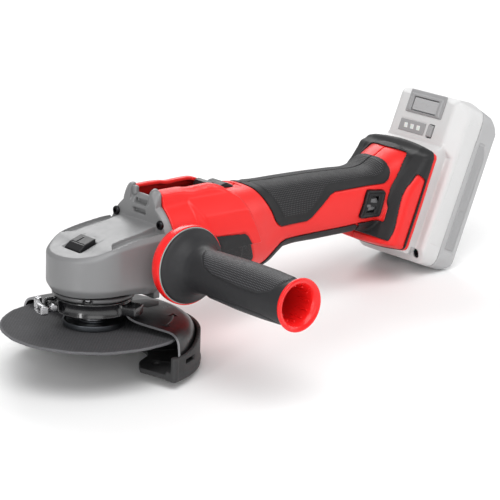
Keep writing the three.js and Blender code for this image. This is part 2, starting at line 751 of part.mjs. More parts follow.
function buildMotor() {
  const axis = [0, 0, MOTOR_AXIS_Z];
  addPiece('pinion', pinion(), DARK_STEEL);
  addPiece('rotor_shaft', rod('x', 3.9, 11.2, 110, axis, 12), BRIGHT_STEEL);
  addPiece('rotor_core', sleeve('x', 4.2, 14.5, 62, 94, axis, 24), DARK_STEEL);
  addPiece('fan', fan(), HARD_BLACK);
  addPiece('stator_core', sleeve('x', 17.3, 28.5, 63.7, 92.3, axis, 24), DARK_STEEL);
  addPiece('stator_windings', statorWindings(), COPPER);
  addPiece('front_rotor_bearing', sleeve('x', 4.2, 11, 30.3, 39, axis, 24), BRIGHT_STEEL);
  addPiece('rear_rotor_bearing', sleeve('x', 4.2, 9.5, 100.6, 107.4, axis, 20), BRIGHT_STEEL);
  addPiece('motor_end_frame', motorEndFrame(), HARD_BLACK);
}

// ---------------------------------------------------------------- battery (rail frame)

// The terminal block closes the port in the foot and carries the rail that the battery slides on.
function terminalBlock() {
  const plug = block([FOOT_BACK - 6, FOOT_BACK + 1], [-16.6, 16.6], [120.4, 175.6]);
  const stem = block([FOOT_BACK + 0.4, 230.4], [-18.4, 18.4], [116, 184]);
  const wings = block([230.2, 234.6], [-23, 23], [116, 184]);
  const blades = [-9, -3, 3, 9].map((y) => block([234, 239.6], [y - 0.5, y + 0.5], [140, 158]));
  return join(plug, stem, wings, ...blades);
}

const FACE_LOW = 193;
const PACK_OUTLINE = [
  [PACK_FRONT, PACK_LOW + 10], [PACK_FRONT + 6, PACK_LOW], [PACK_BACK - 5, PACK_LOW],
  [PACK_BACK, PACK_LOW + 5], [PACK_BACK, PACK_HIGH - 16], [PACK_BACK - 7, PACK_HIGH - 5],
  [PACK_BACK - 24, PACK_HIGH], [PACK_FACE + 3, PACK_HIGH - 1.5], [PACK_FACE, PACK_HIGH - 6],
  [PACK_FACE, FACE_LOW], [PACK_FRONT, FACE_LOW - 6],
];

function packBody() {
  const side = prism('y', PACK_OUTLINE, -PACK_HALF, PACK_HALF);
  const middle = (PACK_HIGH + PACK_LOW) / 2;
  const faceOutline = roundedRect(2 * PACK_HALF, PACK_HIGH - PACK_LOW, 7, [0, middle]);
  const face = prism('x', faceOutline, PACK_FACE - 5, PACK_BACK + 5);
  const bevel = prism('z', [
    [PACK_FACE, -28], [PACK_FACE + 9, -PACK_HALF], [PACK_BACK + 9, -PACK_HALF], [PACK_BACK + 9, PACK_HALF],
    [PACK_FACE + 9, PACK_HALF], [PACK_FACE, 28],
  ], 90, 250);
  return side.intersect(face).intersect(bevel);
}

// Walls that reach forward round the rail, open at the bottom where the rail comes in.
function railChannel() {
  const walls = block([FOOT_BACK + GAP, PACK_FRONT + 1], [-29, 29], [112, 196]);
  const track = block([229.8, PACK_FRONT - 0.1], [-23.6, 23.6], [90, 186.5]);
  const mouth = block([200, PACK_FRONT - 0.1], [-19, 19], [90, 186.5]);
  const lip = PACK_FACE - 0.1;
  const flare = prism('y', [[220, 181.5], [220, 215], [lip, 215], [lip, FACE_LOW]], -40, 40);
  return cut(walls, track, mouth, flare);
}

function packHollow() {
  const halfWidth = PACK_HALF - PACK_WALL;
  const top = PACK_HIGH - 8;
  const back = PACK_BACK - PACK_WALL;
  const main = block([PACK_FRONT + 2.2, back], [-halfWidth, halfWidth], [PACK_LOW + 3, top]);
  const upper = block([PACK_FACE + 2.2, PACK_FRONT + 5], [-26, 26], [FACE_LOW + 2, top]);
  return join(main, upper).intersect(packBody().scale([1, halfWidth / PACK_HALF, 1]));
}

function packOpenings() {
  const latch = block([PACK_FACE - 5, PACK_FACE + 8], [-12.9, 12.9], [213.6, 224]);
  const charge = block([PACK_FACE - 5, PACK_FACE + 6], [-14.9, -9.1], [197.1, 206.7]);
  const screws = [-28, 28].map((y) => rod('x', 2.2, PACK_SPLIT + 14.5, PACK_BACK + 3, [0, y, 118], 10));
  return join(latch, charge, ...screws);
}

function packShell() {
  return cut(join(packBody(), railChannel()), packHollow(), packOpenings());
}

function packCell(index) {
  const pitch = 2 * CELL_RADIUS + 0.6;
  const centre = [PACK_SPLIT + 4.6, 0, PACK_LOW + 16 + pitch * index];
  return rod('y', CELL_RADIUS, -CELL_HALF_LENGTH + 0.3, CELL_HALF_LENGTH - 0.3, centre, 16);
}

function buildBattery() {
  const shell = packShell();
  const inFront = block([0, PACK_SPLIT - 0.15], [-FAR, FAR], [-FAR, FAR]);
  const behind = block([PACK_SPLIT + 0.15, FAR], [-FAR, FAR], [-FAR, FAR]);
  addPiece('terminal_block', terminalBlock(), HARD_BLACK, rail);
  addPiece('battery_front_shell', shell.intersect(inFront), PACK_LIGHT, rail);
  addPiece('battery_rear_shell', shell.intersect(behind), PACK_GREY, rail);
  const latch = block([PACK_FACE - 1, PACK_FACE + 4], [-12.5, 12.5], [214, 223.6]);
  const button = block([PACK_FACE - 1, PACK_FACE + 3.6], [-14.5, -9.5], [197.5, 206.3]);
  addPiece('battery_latch', latch, PACK_GREY, rail);
  addPiece('charge_button', button, PACK_GREY, rail);
  addPiece('battery_board', block([246.6, 248.4], [-26, 26], [116, 186]), BOARD_GREEN, rail);
  for (let i = 0; i < 5; i += 1) {
    addPiece(`battery_cell_${i + 1}`, packCell(i), CELL_WRAP, rail);
  }
}

// ---------------------------------------------------------------- standing on its base

// Nose-up pitch that brings the guard cover's rear edge and the battery's low edge to one level.
function standingPitch() {
  const n = PACK_BACK - 5;
  const batteryX = n * Math.cos(RAIL_TILT) + PACK_LOW * Math.sin(RAIL_TILT);
  const batteryZ = PACK_LOW * Math.cos(RAIL_TILT) - n * Math.sin(RAIL_TILT);
  return Math.atan2(batteryZ - COVER_BOTTOM, batteryX - COVER_RADIUS);
}

function standOnFloor(group) {
  group.rotation.y = standingPitch();
  group.updateMatrixWorld(true);
  const box = new THREE.Box3().setFromObject(group, true);
  const centre = box.getCenter(new THREE.Vector3());
  group.position.set(-centre.x, -centre.y, -box.min.z);
}

buildGearHead();
buildSpindle();
buildGuard();
buildHandle();
buildHousing();
buildMotor();
buildBattery();
standOnFloor(tool);

const grinder = new THREE.Group();
grinder.add(tool);

export default grinder;
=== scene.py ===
"""Cordless angle grinder: the finished surfaces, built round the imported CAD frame.

Shapes are written in millimetres in one of two frames. TOOL has its origin where the spindle axis
meets the disc's top face, +X back along the motor, +Z up the spindle, and the side handle along -Y.
RAIL shares that origin and is turned to the battery's rail: +X is the distance behind the spindle
and +Z runs up the rail. Moulded and cast pieces are distance fields meshed by surface_net.
"""

import json
import math

import bpy
import numpy as np
from mathutils import Matrix, Vector


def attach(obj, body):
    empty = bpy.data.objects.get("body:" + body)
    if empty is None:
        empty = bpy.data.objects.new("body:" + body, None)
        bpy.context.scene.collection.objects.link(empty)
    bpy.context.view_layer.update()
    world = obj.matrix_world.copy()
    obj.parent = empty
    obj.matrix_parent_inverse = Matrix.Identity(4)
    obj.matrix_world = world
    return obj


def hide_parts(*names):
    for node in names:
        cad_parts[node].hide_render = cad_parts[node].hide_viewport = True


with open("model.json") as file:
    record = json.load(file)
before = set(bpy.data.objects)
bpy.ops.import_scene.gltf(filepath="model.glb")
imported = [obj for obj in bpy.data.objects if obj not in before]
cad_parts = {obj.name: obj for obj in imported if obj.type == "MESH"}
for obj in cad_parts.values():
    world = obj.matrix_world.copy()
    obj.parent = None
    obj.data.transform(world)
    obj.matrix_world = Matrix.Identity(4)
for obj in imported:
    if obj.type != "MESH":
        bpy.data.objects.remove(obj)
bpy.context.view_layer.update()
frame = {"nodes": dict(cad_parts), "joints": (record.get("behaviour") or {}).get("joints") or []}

MM = 0.001


# ---------------------------------------------------------------- frames

def joint(name):
    return next(j for j in frame["joints"] if j["name"] == name)


def frame_matrix(x_axis, y_axis, z_axis, origin):
    columns = [Vector(axis).to_4d() for axis in (x_axis, y_axis, z_axis)]
    for column in columns:
        column.w = 0
    return Matrix([*columns, Vector(origin).to_4d()]).transposed()


ORIGIN = Vector(joint("spindle_spin")["pos_m"])
SPINDLE_AXIS = Vector(joint("spindle_spin")["axis"])
ROTOR_AXIS = Vector(joint("rotor_spin")["axis"])
SIDE_AXIS = SPINDLE_AXIS.cross(ROTOR_AXIS)
RAIL_AXIS = Vector(joint("battery_slide")["axis"])
TOOL = frame_matrix(ROTOR_AXIS, SIDE_AXIS, SPINDLE_AXIS, ORIGIN)
RAIL = frame_matrix(SIDE_AXIS.cross(RAIL_AXIS), SIDE_AXIS, RAIL_AXIS, ORIGIN)
RAIL_TILT = ROTOR_AXIS.angle(SIDE_AXIS.cross(RAIL_AXIS))


# ---------------------------------------------------------------- pieces

def piece(name, mesh_data, material, body, nodes=(), place=TOOL, smooth_angle=40, slot=None):
    """A mesh from (points in mm, faces) that rides on a body and stands for CAD nodes."""
    points, faces = mesh_data
    mesh = bpy.data.meshes.new(name)
    mesh.from_pydata((np.asarray(points, float) * MM).tolist(), [], [list(f) for f in faces])
    mesh.validate()
    mesh.update()
    mesh.polygons.foreach_set("use_smooth", np.ones(len(mesh.polygons), bool))
    if smooth_angle < 180:
        mesh.set_sharp_from_angle(angle=math.radians(smooth_angle))
    obj = bpy.data.objects.new(name, mesh)
    bpy.context.scene.collection.objects.link(obj)
    obj.matrix_world = place
    mesh.materials.append(material)
    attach(obj, body)
    if nodes:
        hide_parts(*nodes)
    return obj


def bake_modifiers(obj):
    """The mesh with its modifiers applied."""
    graph = bpy.context.evaluated_depsgraph_get()
    mesh = bpy.data.meshes.new_from_object(obj.evaluated_get(graph))
    obj.modifiers.clear()
    obj.data = mesh


def thin_out(obj, ratio, smooth_angle=40):
    """Fewer faces on the flat stretches of a meshed field."""
    modifier = obj.modifiers.new("thin", "DECIMATE")
    modifier.ratio = ratio
    bake_modifiers(obj)
    obj.data.polygons.foreach_set("use_smooth", np.ones(len(obj.data.polygons), bool))
    obj.data.set_sharp_from_angle(angle=math.radians(smooth_angle))


def pattern_coordinates(obj, mapping):
    """Stores (along, across, share) on each vertex: its place in metres and the pattern's strength."""
    count = len(obj.data.vertices)
    points = np.empty(count * 3, np.float32)
    obj.data.vertices.foreach_get("co", points)
    values = mapping(points.reshape(-1, 3) / MM) * (MM, MM, 1)
    attribute = obj.data.attributes.new("surface", "FLOAT_VECTOR", "POINT")
    attribute.data.foreach_set("vector", values.astype(np.float32).ravel())


# ---------------------------------------------------------------- turned and extruded meshes

AXES = {"x": (0, 1, 2), "y": (1, 2, 0), "z": (2, 0, 1)}


def softened(profile, radius=0.4, steps=3):
    """The closed or open profile with each corner rounded."""
    points = [np.array(p, float) for p in profile]
    rounded = [points[0]]
    for before, corner, after in zip(points, points[1:], points[2:]):
        back, ahead = before - corner, after - corner
        reach = min(radius, 0.45 * np.linalg.norm(back), 0.45 * np.linalg.norm(ahead))
        start = corner + back / np.linalg.norm(back) * reach
        end = corner + ahead / np.linalg.norm(ahead) * reach
        for t in np.linspace(0, 1, steps + 1):
            rounded.append((1 - t) ** 2 * start + 2 * t * (1 - t) * corner + t * t * end)
    rounded.append(points[-1])
    return np.array(rounded)


def turned(profile, axis="z", centre=(0, 0, 0), segments=96, start=0.0, sweep=360.0):
    """A profile of (radius, height) turned about an axis. Less than a full turn gets end caps."""
    profile = np.asarray(profile, float)
    on_axis = profile[0][0] < 1e-6 and profile[-1][0] < 1e-6
    if not on_axis and np.allclose(profile[0], profile[-1]):
        profile = profile[:-1]
    full = sweep >= 360
    count = segments if full else segments + 1
    angles = np.radians(start + sweep * np.arange(count) / segments)
    along, across, third = AXES[axis]
    points = np.zeros((count, len(profile), 3))
    points[..., across] = profile[:, 0] * np.cos(angles)[:, None]
    points[..., third] = profile[:, 0] * np.sin(angles)[:, None]
    points[..., along] = profile[:, 1]
    points = points.reshape(-1, 3) + np.array(centre)
    n = len(profile)
    last = n - 1 if on_axis else n
    faces = []
    for i in range(count if full else count - 1):
        a, b = i * n, (i + 1) % count * n
        for j in range(last):
            k = (j + 1) % n
            faces.append((a + j, b + j, b + k, a + k))
    if not full and not on_axis:
        faces.append(tuple(range(n)))
        faces.append(tuple(range((count - 1) * n, count * n))[::-1])
    return welded(points, faces)


def welded(points, faces):
    """Joins points that coincide and drops the faces that collapse."""
    keys, index = np.unique(np.round(points, 5), axis=0, return_inverse=True)
    index = index.ravel()
    kept = []
    for face in faces:
        ring = [int(index[i]) for i in face]
        ring = [v for v, nxt in zip(ring, ring[1:] + ring[:1]) if v != nxt]
        if len(ring) > 2:
            kept.append(ring)
    return outward(keys, kept)


def outward(points, faces):
    """Turns every face round if the closed mesh is inside out."""
    total = 0.0
    for face in faces:
        a = points[face[0]]
        for b, c in zip(face[1:], face[2:]):
            total += np.dot(a, np.cross(points[b], points[c]))
    return (points, faces) if total > 0 else (points, [f[::-1] for f in faces])


# ---------------------------------------------------------------- distance fields

class Grid:
    """Sample points of a box, in mm, as arrays that broadcast together."""

    def __init__(self, low, high, step):
        self.low, self.step = np.array(low, float), step
        counts = [int(math.ceil((h - l) / step)) + 1 for l, h in zip(low, high)]
        axes = [(l + step * np.arange(n)).astype(np.float32) for l, n in zip(low, counts)]
        self.x = axes[0][:, None, None]
        self.y = axes[1][None, :, None]
        self.z = axes[2][None, None, :]
        self.shape = tuple(counts)

    def mesh(self, field):
        return surface_net(np.broadcast_to(field, self.shape), self.low, self.step)


def surface_net(field, low, step):
    """The zero surface of a field that is negative inside, as points and outward quads."""
    field = np.array(field, np.float32)
    for axis in range(3):
        for end in (0, -1):
            side = [slice(None)] * 3
            side[axis] = end
            field[tuple(side)] = np.maximum(field[tuple(side)], step)
    inside = field < 0
    cells = tuple(n - 1 for n in field.shape)
    count = np.zeros(cells, np.int8)
    corners = [(i, j, k) for i in (0, 1) for j in (0, 1) for k in (0, 1)]
    for i, j, k in corners:
        count += inside[i:i + cells[0], j:j + cells[1], k:k + cells[2]]
    active = np.argwhere((count > 0) & (count < 8))
    index = np.full(cells, -1, np.int32)
    index[tuple(active.T)] = np.arange(len(active))
    total = np.zeros((len(active), 3))
    hits = np.zeros(len(active))
    for corner in corners:
        for axis in range(3):
            if corner[axis]:
                continue
            other = np.array(corner)
            other[axis] = 1
            a = field[tuple((active + corner).T)].astype(float)
            b = field[tuple((active + other).T)].astype(float)
            crossed = (a < 0) != (b < 0)
            t = np.where(crossed, a / np.where(crossed, a - b, 1), 0)
            total += crossed[:, None] * (np.array(corner) + t[:, None] * (other - np.array(corner)))
            hits += crossed
    points = (active + total / hits[:, None]) * step + low
    return points, net_quads(inside, index)


def net_quads(inside, index):
    quads = []
    for axis in range(3):
        u, v = (axis + 1) % 3, (axis + 2) % 3
        first = [slice(1, None)] * 3
        second = [slice(1, None)] * 3
        first[axis], second[axis] = slice(0, -1), slice(1, None)
        changed = inside[tuple(first)] != inside[tuple(second)]
        start = np.argwhere(changed)
        start[:, u] += 1
        start[:, v] += 1
        start = start[(start[:, u] < index.shape[u]) & (start[:, v] < index.shape[v])]
        back_u, back_v = np.eye(3, dtype=int)[u], np.eye(3, dtype=int)[v]
        ring = [start, start - back_u, start - back_u - back_v, start - back_v]
        faces = np.stack([index[tuple(c.T)] for c in ring], 1)
        solid_first = inside[tuple(start.T)]
        faces[~solid_first] = faces[~solid_first][:, ::-1]
        quads.append(faces)
    return np.concatenate(quads).tolist()


def smooth_max(a, b, blend):
    h = np.maximum(blend - np.abs(a - b), 0) / blend
    return np.maximum(a, b) + h * h * blend / 4


def smooth_min(a, b, blend):
    return -smooth_max(-a, -b, blend)


def hull_of(*fields, blend=0.8):
    """The intersection of fields, with rounded edges."""
    result = fields[0]
    for other in fields[1:]:
        result = smooth_max(result, other, blend)
    return result


def union_of(*fields, blend=0.8):
    result = fields[0]
    for other in fields[1:]:
        result = smooth_min(result, other, blend)
    return result


def carve(body, *tools, blend=0.6):
    """The body less each tool, with rounded edges."""
    for tool in tools:
        body = smooth_max(body, -tool, blend)
    return body


def polygon(u, v, points):
    """Signed distance in a plane to a closed outline, negative inside."""
    points = np.array(points, np.float32)
    best = np.full(np.broadcast(u, v).shape, 1e9, np.float32)
    inside = np.zeros(best.shape, bool)
    for (au, av), (bu, bv) in zip(points, np.roll(points, -1, 0)):
        eu, ev = bu - au, bv - av
        t = np.clip(((u - au) * eu + (v - av) * ev) / (eu * eu + ev * ev + 1e-9), 0, 1)
        best = np.minimum(best, (u - au - t * eu) ** 2 + (v - av - t * ev) ** 2)
        crosses = ((av > v) != (bv > v)) & (u < (bu - au) * (v - av) / (bv - av + 1e-9) + au)
        inside ^= crosses
    return np.where(inside, -1, 1) * np.sqrt(best)


def slab(value, low, high):
    return np.maximum(low - value, value - high)


def rod(u, v, radius, w, low, high, blend=0.5):
    """A cylinder: u and v are the distances from its axis, and w runs along it."""
    return hull_of(np.hypot(u, v) - radius, slab(w, low, high), blend=blend)


def along(value, stations):
    """Smoothly interpolated numbers along a list of (place, number)."""
    places, numbers = np.array(stations, float).T
    slopes = np.gradient(numbers, places)
    i = np.clip(np.searchsorted(places, value, side="right") - 1, 0, len(places) - 2)
    width = places[i + 1] - places[i]
    t = np.clip((value - places[i]) / width, 0, 1)
    h00, h10 = 2 * t ** 3 - 3 * t * t + 1, t ** 3 - 2 * t * t + t
    h01, h11 = -2 * t ** 3 + 3 * t * t, t ** 3 - t * t
    result = h00 * numbers[i] + h10 * width * slopes[i] + h01 * numbers[i + 1] + h11 * width * slopes[i + 1]
    return result.astype(np.float32)


def even_distance(field, step):
    """Divides a field by its slope, so that its values are close to distances."""
    slopes = np.gradient(field, step)
    steepness = np.sqrt(sum(s * s for s in slopes))
    return field / np.maximum(steepness, 0.3)


# ---------------------------------------------------------------- materials

class Nodes:
    """A node tree under construction round one Principled shader."""

    def __init__(self, name):
        self.material = bpy.data.materials.new(name)
        self.material.use_nodes = True
        self.tree = self.material.node_tree
        self.shader = self.tree.nodes["Principled BSDF"]
        self.place = self.add("ShaderNodeTexCoord").outputs["Object"]

    def add(self, kind, inputs=(), **settings):
        node = self.tree.nodes.new(kind)
        for key, value in settings.items():
            setattr(node, key, value)
        for key, value in dict(inputs).items():
            if isinstance(value, bpy.types.NodeSocket):
                self.tree.links.new(value, node.inputs[key])
            else:
                node.inputs[key].default_value = value
        return node

    def set(self, socket, value):
        if isinstance(value, bpy.types.NodeSocket):
            self.tree.links.new(value, self.shader.inputs[socket])
        else:
            self.shader.inputs[socket].default_value = value

    def scaled(self, factors):
        return self.add("ShaderNodeMapping", {"Vector": self.place, "Scale": factors}).outputs[0]

    def noise(self, size_mm, detail=3, stretch=(1, 1, 1)):
        """Noise from 0 to 1 whose grains are about size_mm across."""
        vector = self.scaled([s / (size_mm * MM) for s in stretch])
        return self.add("ShaderNodeTexNoise", {"Vector": vector, "Scale": 1.0, "Detail": detail}).outputs[0]

    def math(self, operation, a, b=0.5):
        return self.add("ShaderNodeMath", {0: a, 1: b}, operation=operation).outputs[0]

    def ranged(self, value, low, high, start=0.0, end=1.0):
        inputs = {"Value": value, "From Min": start, "From Max": end, "To Min": low, "To Max": high}
        return self.add("ShaderNodeMapRange", inputs, interpolation_type="SMOOTHSTEP").outputs[0]

    def blend(self, factor, a, b):
        mix = self.add("ShaderNodeMix", {0: factor, 6: (*a, 1) if isinstance(a, tuple) else a,
                                         7: (*b, 1) if isinstance(b, tuple) else b}, data_type="RGBA")
        return mix.outputs[2]

    def bump(self, height, depth_mm, strength=1.0, under=None):
        inputs = {"Height": height, "Distance": depth_mm * MM, "Strength": strength}
        if under:
            inputs["Normal"] = under
        return self.add("ShaderNodeBump", inputs).outputs[0]


def shade(colour, factor):
    return tuple(min(1.0, c * factor) for c in colour)


def moulded(name, colour, roughness=0.4, grain_mm=0.35, grain_depth=0.012, mottle=0.06, metallic=0.0,
            specular=0.5, coat=0.0):
    """Moulded plastic, paint or cast metal: faint mottling, uneven gloss and a fine surface grain."""
    n = Nodes(name)
    cloud = n.noise(14)
    n.set("Base Color", n.blend(cloud, shade(colour, 1 - mottle), shade(colour, 1 + mottle)))
    n.set("Roughness", n.ranged(n.noise(5), roughness - 0.05, roughness + 0.06))
    n.set("Normal", n.bump(n.noise(grain_mm, 2), grain_depth))
    n.set("Metallic", metallic)
    n.set("Specular IOR Level", specular)
    n.set("Coat Weight", coat)
    return n.material


def brushed(name, colour, roughness=0.25, stretch=(1, 1, 0.08)):
    """Machined or plated metal with fine marks along one direction."""
    n = Nodes(name)
    marks = n.noise(0.5, 3, stretch)
    n.set("Base Color", n.blend(marks, shade(colour, 0.86), shade(colour, 1.1)))
    n.set("Roughness", n.ranged(marks, roughness - 0.06, roughness + 0.1))
    n.set("Normal", n.bump(marks, 0.01))
    n.set("Metallic", 1.0)
    return n.material


def dimpled(name, colour, pitch_mm, depth_mm, roughness=0.55):
    """Rubber with a moulded lattice of raised points, laid on the piece's own surface coordinate. The top
    of each point is painted lighter as a painted highlight.
    """
    n = Nodes(name)
    surface = n.add("ShaderNodeAttribute", attribute_name="surface").outputs["Vector"]
    parts = n.add("ShaderNodeSeparateXYZ", {0: surface}).outputs
    turn = 2 * math.pi / (pitch_mm * MM)
    waves = [n.math("COSINE", n.math("MULTIPLY", n.math(op, parts[0], parts[1]), turn / math.sqrt(2)))
             for op in ("ADD", "SUBTRACT")]
    points = n.ranged(n.math("MULTIPLY", waves[0], waves[1]), 0.0, 1.0, 0.0, 0.8)
    height = n.math("MULTIPLY", points, parts[2])
    # Painted highlight: the base colour brightens up to 4.5 times on the top of each raised point.
    n.set("Base Color", n.blend(height, shade(colour, 0.8), shade(colour, 4.5)))
    n.set("Roughness", n.ranged(n.noise(4), roughness - 0.05, roughness + 0.07))
    n.set("Specular IOR Level", 0.3)
    fine = n.bump(n.noise(0.3, 2), 0.01)
    n.set("Normal", n.bump(height, depth_mm, 1.0, fine))
    return n.material


def woven_disc(name):
    """Resin-bonded abrasive grain over a glass-fibre mesh."""
    n = Nodes(name)
    parts = n.add("ShaderNodeSeparateXYZ", {0: n.place}).outputs
    turn = 2 * math.pi / (1.9 * MM)
    lines = [n.math("SINE", n.math("MULTIPLY", n.math(op, parts[0], parts[1]), turn / math.sqrt(2)))
             for op in ("ADD", "SUBTRACT")]
    mesh = n.ranged(n.math("MAXIMUM", lines[0], lines[1]), 0.0, 1.0, 0.2, 1.0)
    grain = n.noise(0.5, 4)
    speck = n.ranged(n.noise(0.9, 2), 0.0, 1.0, 0.6, 0.74)
    radius = n.math("SQRT", n.math("ADD", n.math("POWER", parts[0], 2.0), n.math("POWER", parts[1], 2.0)))
    # The colour turns a lighter grey over the outer 2 mm of the disc.
    outer_rim_band = n.ranged(radius, 0.0, 1.0, 60.4 * MM, 62.3 * MM)
    base = n.blend(grain, (0.016, 0.016, 0.018), (0.062, 0.062, 0.066))
    base = n.blend(n.math("MULTIPLY", mesh, 0.5), base, (0.075, 0.075, 0.08))
    base = n.blend(n.math("MULTIPLY", speck, 0.4), base, (0.16, 0.16, 0.17))
    n.set("Base Color", n.blend(n.math("MULTIPLY", outer_rim_band, 0.55), base, (0.16, 0.16, 0.17)))
    n.set("Roughness", n.ranged(grain, 0.72, 0.95))
    coarse = n.bump(mesh, 0.12)
    n.set("Normal", n.bump(grain, 0.1, 1.0, coarse))
    return n.material


def banded(name, first, second, pitch_mm, axis, metallic=0.0, roughness=0.5):
    """Stacked sheets or wound wire: fine stripes across one axis of the tool's frame."""
    n = Nodes(name)
    direction = n.add("ShaderNodeVectorMath", {0: n.place, 1: tuple(axis)}, operation="DOT_PRODUCT")
    wave = n.math("SINE", n.math("MULTIPLY", direction.outputs["Value"], 2 * math.pi / (pitch_mm * MM)))
    stripe = n.ranged(wave, 0.0, 1.0, -0.6, 0.8)
    n.set("Base Color", n.blend(stripe, first, second))
    n.set("Roughness", n.ranged(n.noise(3), roughness - 0.06, roughness + 0.08))
    n.set("Normal", n.bump(stripe, 0.08))
    n.set("Metallic", metallic)
    return n.material


def clear_lens(name, colour):
    """A light-guide lens: smooth, bright, a little milky."""
    n = Nodes(name)
    n.set("Base Color", n.blend(n.noise(2), shade(colour, 0.92), shade(colour, 1.05)))
    n.set("Roughness", n.ranged(n.noise(1.5), 0.12, 0.22))
    n.set("Subsurface Weight", 0.2)
    n.set("Subsurface Scale", 0.001)
    n.set("Coat Weight", 0.4)
    return n.material


CAST_GREY = moulded("cast_grey_paint", (0.19, 0.191, 0.194), 0.4, 0.55, 0.02, 0.04, 0.12, 0.55)
RED = moulded("red_housing_plastic", (0.76, 0.020, 0.018), 0.36, 0.4, 0.008, 0.03, 0.0, 0.32)
RED_GLOSS = moulded("red_gloss_plastic", (0.80, 0.012, 0.012), 0.24, 0.5, 0.004, 0.03, 0.0, 0.4)
HARD_BLACK = moulded("black_hard_plastic", (0.010, 0.010, 0.011), 0.36, 0.3, 0.012, 0.1, 0.0, 0.3)
SATIN_BLACK = moulded("black_satin_plastic", (0.015, 0.015, 0.016), 0.5, 0.3, 0.02, 0.12, 0.0, 0.25)
RUBBER = moulded("black_soft_rubber", (0.016, 0.016, 0.017), 0.55, 0.35, 0.03, 0.15, 0.0, 0.3)
GUARD_PAINT = moulded("guard_black_coating", (0.008, 0.008, 0.009), 0.3, 0.5, 0.02, 0.12, 0.0, 0.6)
CUT_EDGE = brushed("guard_cut_edge", (0.30, 0.30, 0.31), 0.4)
COVER_PLASTIC = moulded("cover_textured_plastic", (0.024, 0.024, 0.025), 0.62, 0.7, 0.09, 0.15)
CHROME = brushed("chrome_plate", (0.36, 0.36, 0.37), 0.2)
BLACK_STEEL = brushed("black_oxide_steel", (0.035, 0.035, 0.038), 0.35)
FLANGE_STEEL = brushed("flange_blue_steel", (0.10, 0.108, 0.118), 0.42, (0.08, 0.08, 1))
SHAFT_STEEL = brushed("shaft_ground_steel", (0.42, 0.42, 0.43), 0.28, (0.08, 0.08, 1))
BUSH_STEEL = brushed("disc_bush_steel", (0.36, 0.36, 0.35), 0.38)
NUT_STEEL = moulded("nut_phosphated_steel", (0.05, 0.05, 0.052), 0.42, 0.4, 0.02, 0.1, 0.7)
DISC_MESH = woven_disc("abrasive_woven_disc")
GRIP_DOTS = dimpled("grip_dotted_rubber", (0.015, 0.015, 0.016), 2.1, 0.4)
HANDLE_DOTS = dimpled("handle_dotted_rubber", (0.022, 0.022, 0.024), 2.0, 0.4, 0.5)
LABEL_GREY = moulded("guard_label_print", (0.06, 0.06, 0.062), 0.6, 0.8, 0.01, 0.1)
PALE_LINE = moulded("pale_grey_seal", (0.26, 0.32, 0.31), 0.5)
PACK_PALE = moulded("pack_pale_plastic", (0.60, 0.60, 0.60), 0.4, 0.5, 0.012, 0.02)
PACK_MID = moulded("pack_mid_plastic", (0.40, 0.40, 0.405), 0.45, 0.5, 0.015, 0.03)
PACK_DARK = moulded("pack_dark_plastic", (0.31, 0.31, 0.315), 0.5, 0.4, 0.015, 0.04)
PACK_LENS = clear_lens("pack_lamp_lens", (0.72, 0.74, 0.72))
COPPER = banded("copper_windings", (0.20, 0.055, 0.018), (0.55, 0.2, 0.08), 0.9, ROTOR_AXIS, 0.8, 0.35)
LAMINATIONS = banded("steel_laminations", (0.09, 0.09, 0.095), (0.24, 0.24, 0.25), 0.8, ROTOR_AXIS, 0.9,
                     0.4)
CELL_WRAP = moulded("cell_shrink_wrap", (0.03, 0.12, 0.30), 0.32, 0.5, 0.008, 0.1)
BOARD = moulded("circuit_board_lacquer", (0.015, 0.09, 0.04), 0.4, 0.6, 0.02, 0.2)
BRASS = brushed("contact_brass", (0.62, 0.42, 0.16), 0.3)


# ---------------------------------------------------------------- gear head

AXIS_Z = 50.0
HANDLE_X, HANDLE_Z = 38.5, 47.0
SEAM_X = 42.0
BARREL_RADIUS = 34.0
HOUSING_RADIUS = 33.9

RAIL_TOP = [(-32, 52.4), (-22, 53.6), (-18, 54.8), (-1, 61.3), (14, 68), (28, 73), (32, 76.8), (35, 82.5),
            (38, 88), (41, 89.7), (50, 89.8)]
RAIL_EDGE = [(-32, 53.2), (-22, 54.2), (-11, 57.8), (4, 61.6), (24, 66.6), (32.5, 70.5), (35.4, 74.5),
             (39.6, 85.2), (50, 87)]
TROUGH_FLOOR = [(-32, 52), (-18.6, 53.6), (-4.6, 58.4), (8.4, 63.4), (18.6, 67.9), (23, 69.3), (27.6, 70.1),
                (30, 70.6), (32.7, 73.3), (35.7, 76.2), (37.9, 79), (39.7, 82.4), (42, 84.2), (50, 84.4)]
CREASE = [(-34, 50.4), (-20, 51.9), (-8, 56), (14, 59.4), (28.6, 60.4), (44, 60.6)]
HEAD_BOTTOM = [(-34, 25), (14, 25), (24, 23.2), (34, 18.4), (44, 16.4)]


def flank_pocket(g, inside_ledge, floor):
    """The pocket moulded into each flank under the rail, open to the side above the ledge."""
    side = np.abs(g.y)
    front = -7.5 + 0.7 * (30 - side)
    wall = along(g.x, [(-34, 21.5), (0, 21), (36, 19.4), (50, 19)])
    return hull_of(inside_ledge, wall - side, front - g.x, g.x - 36.6, floor - g.z, blend=1.0)


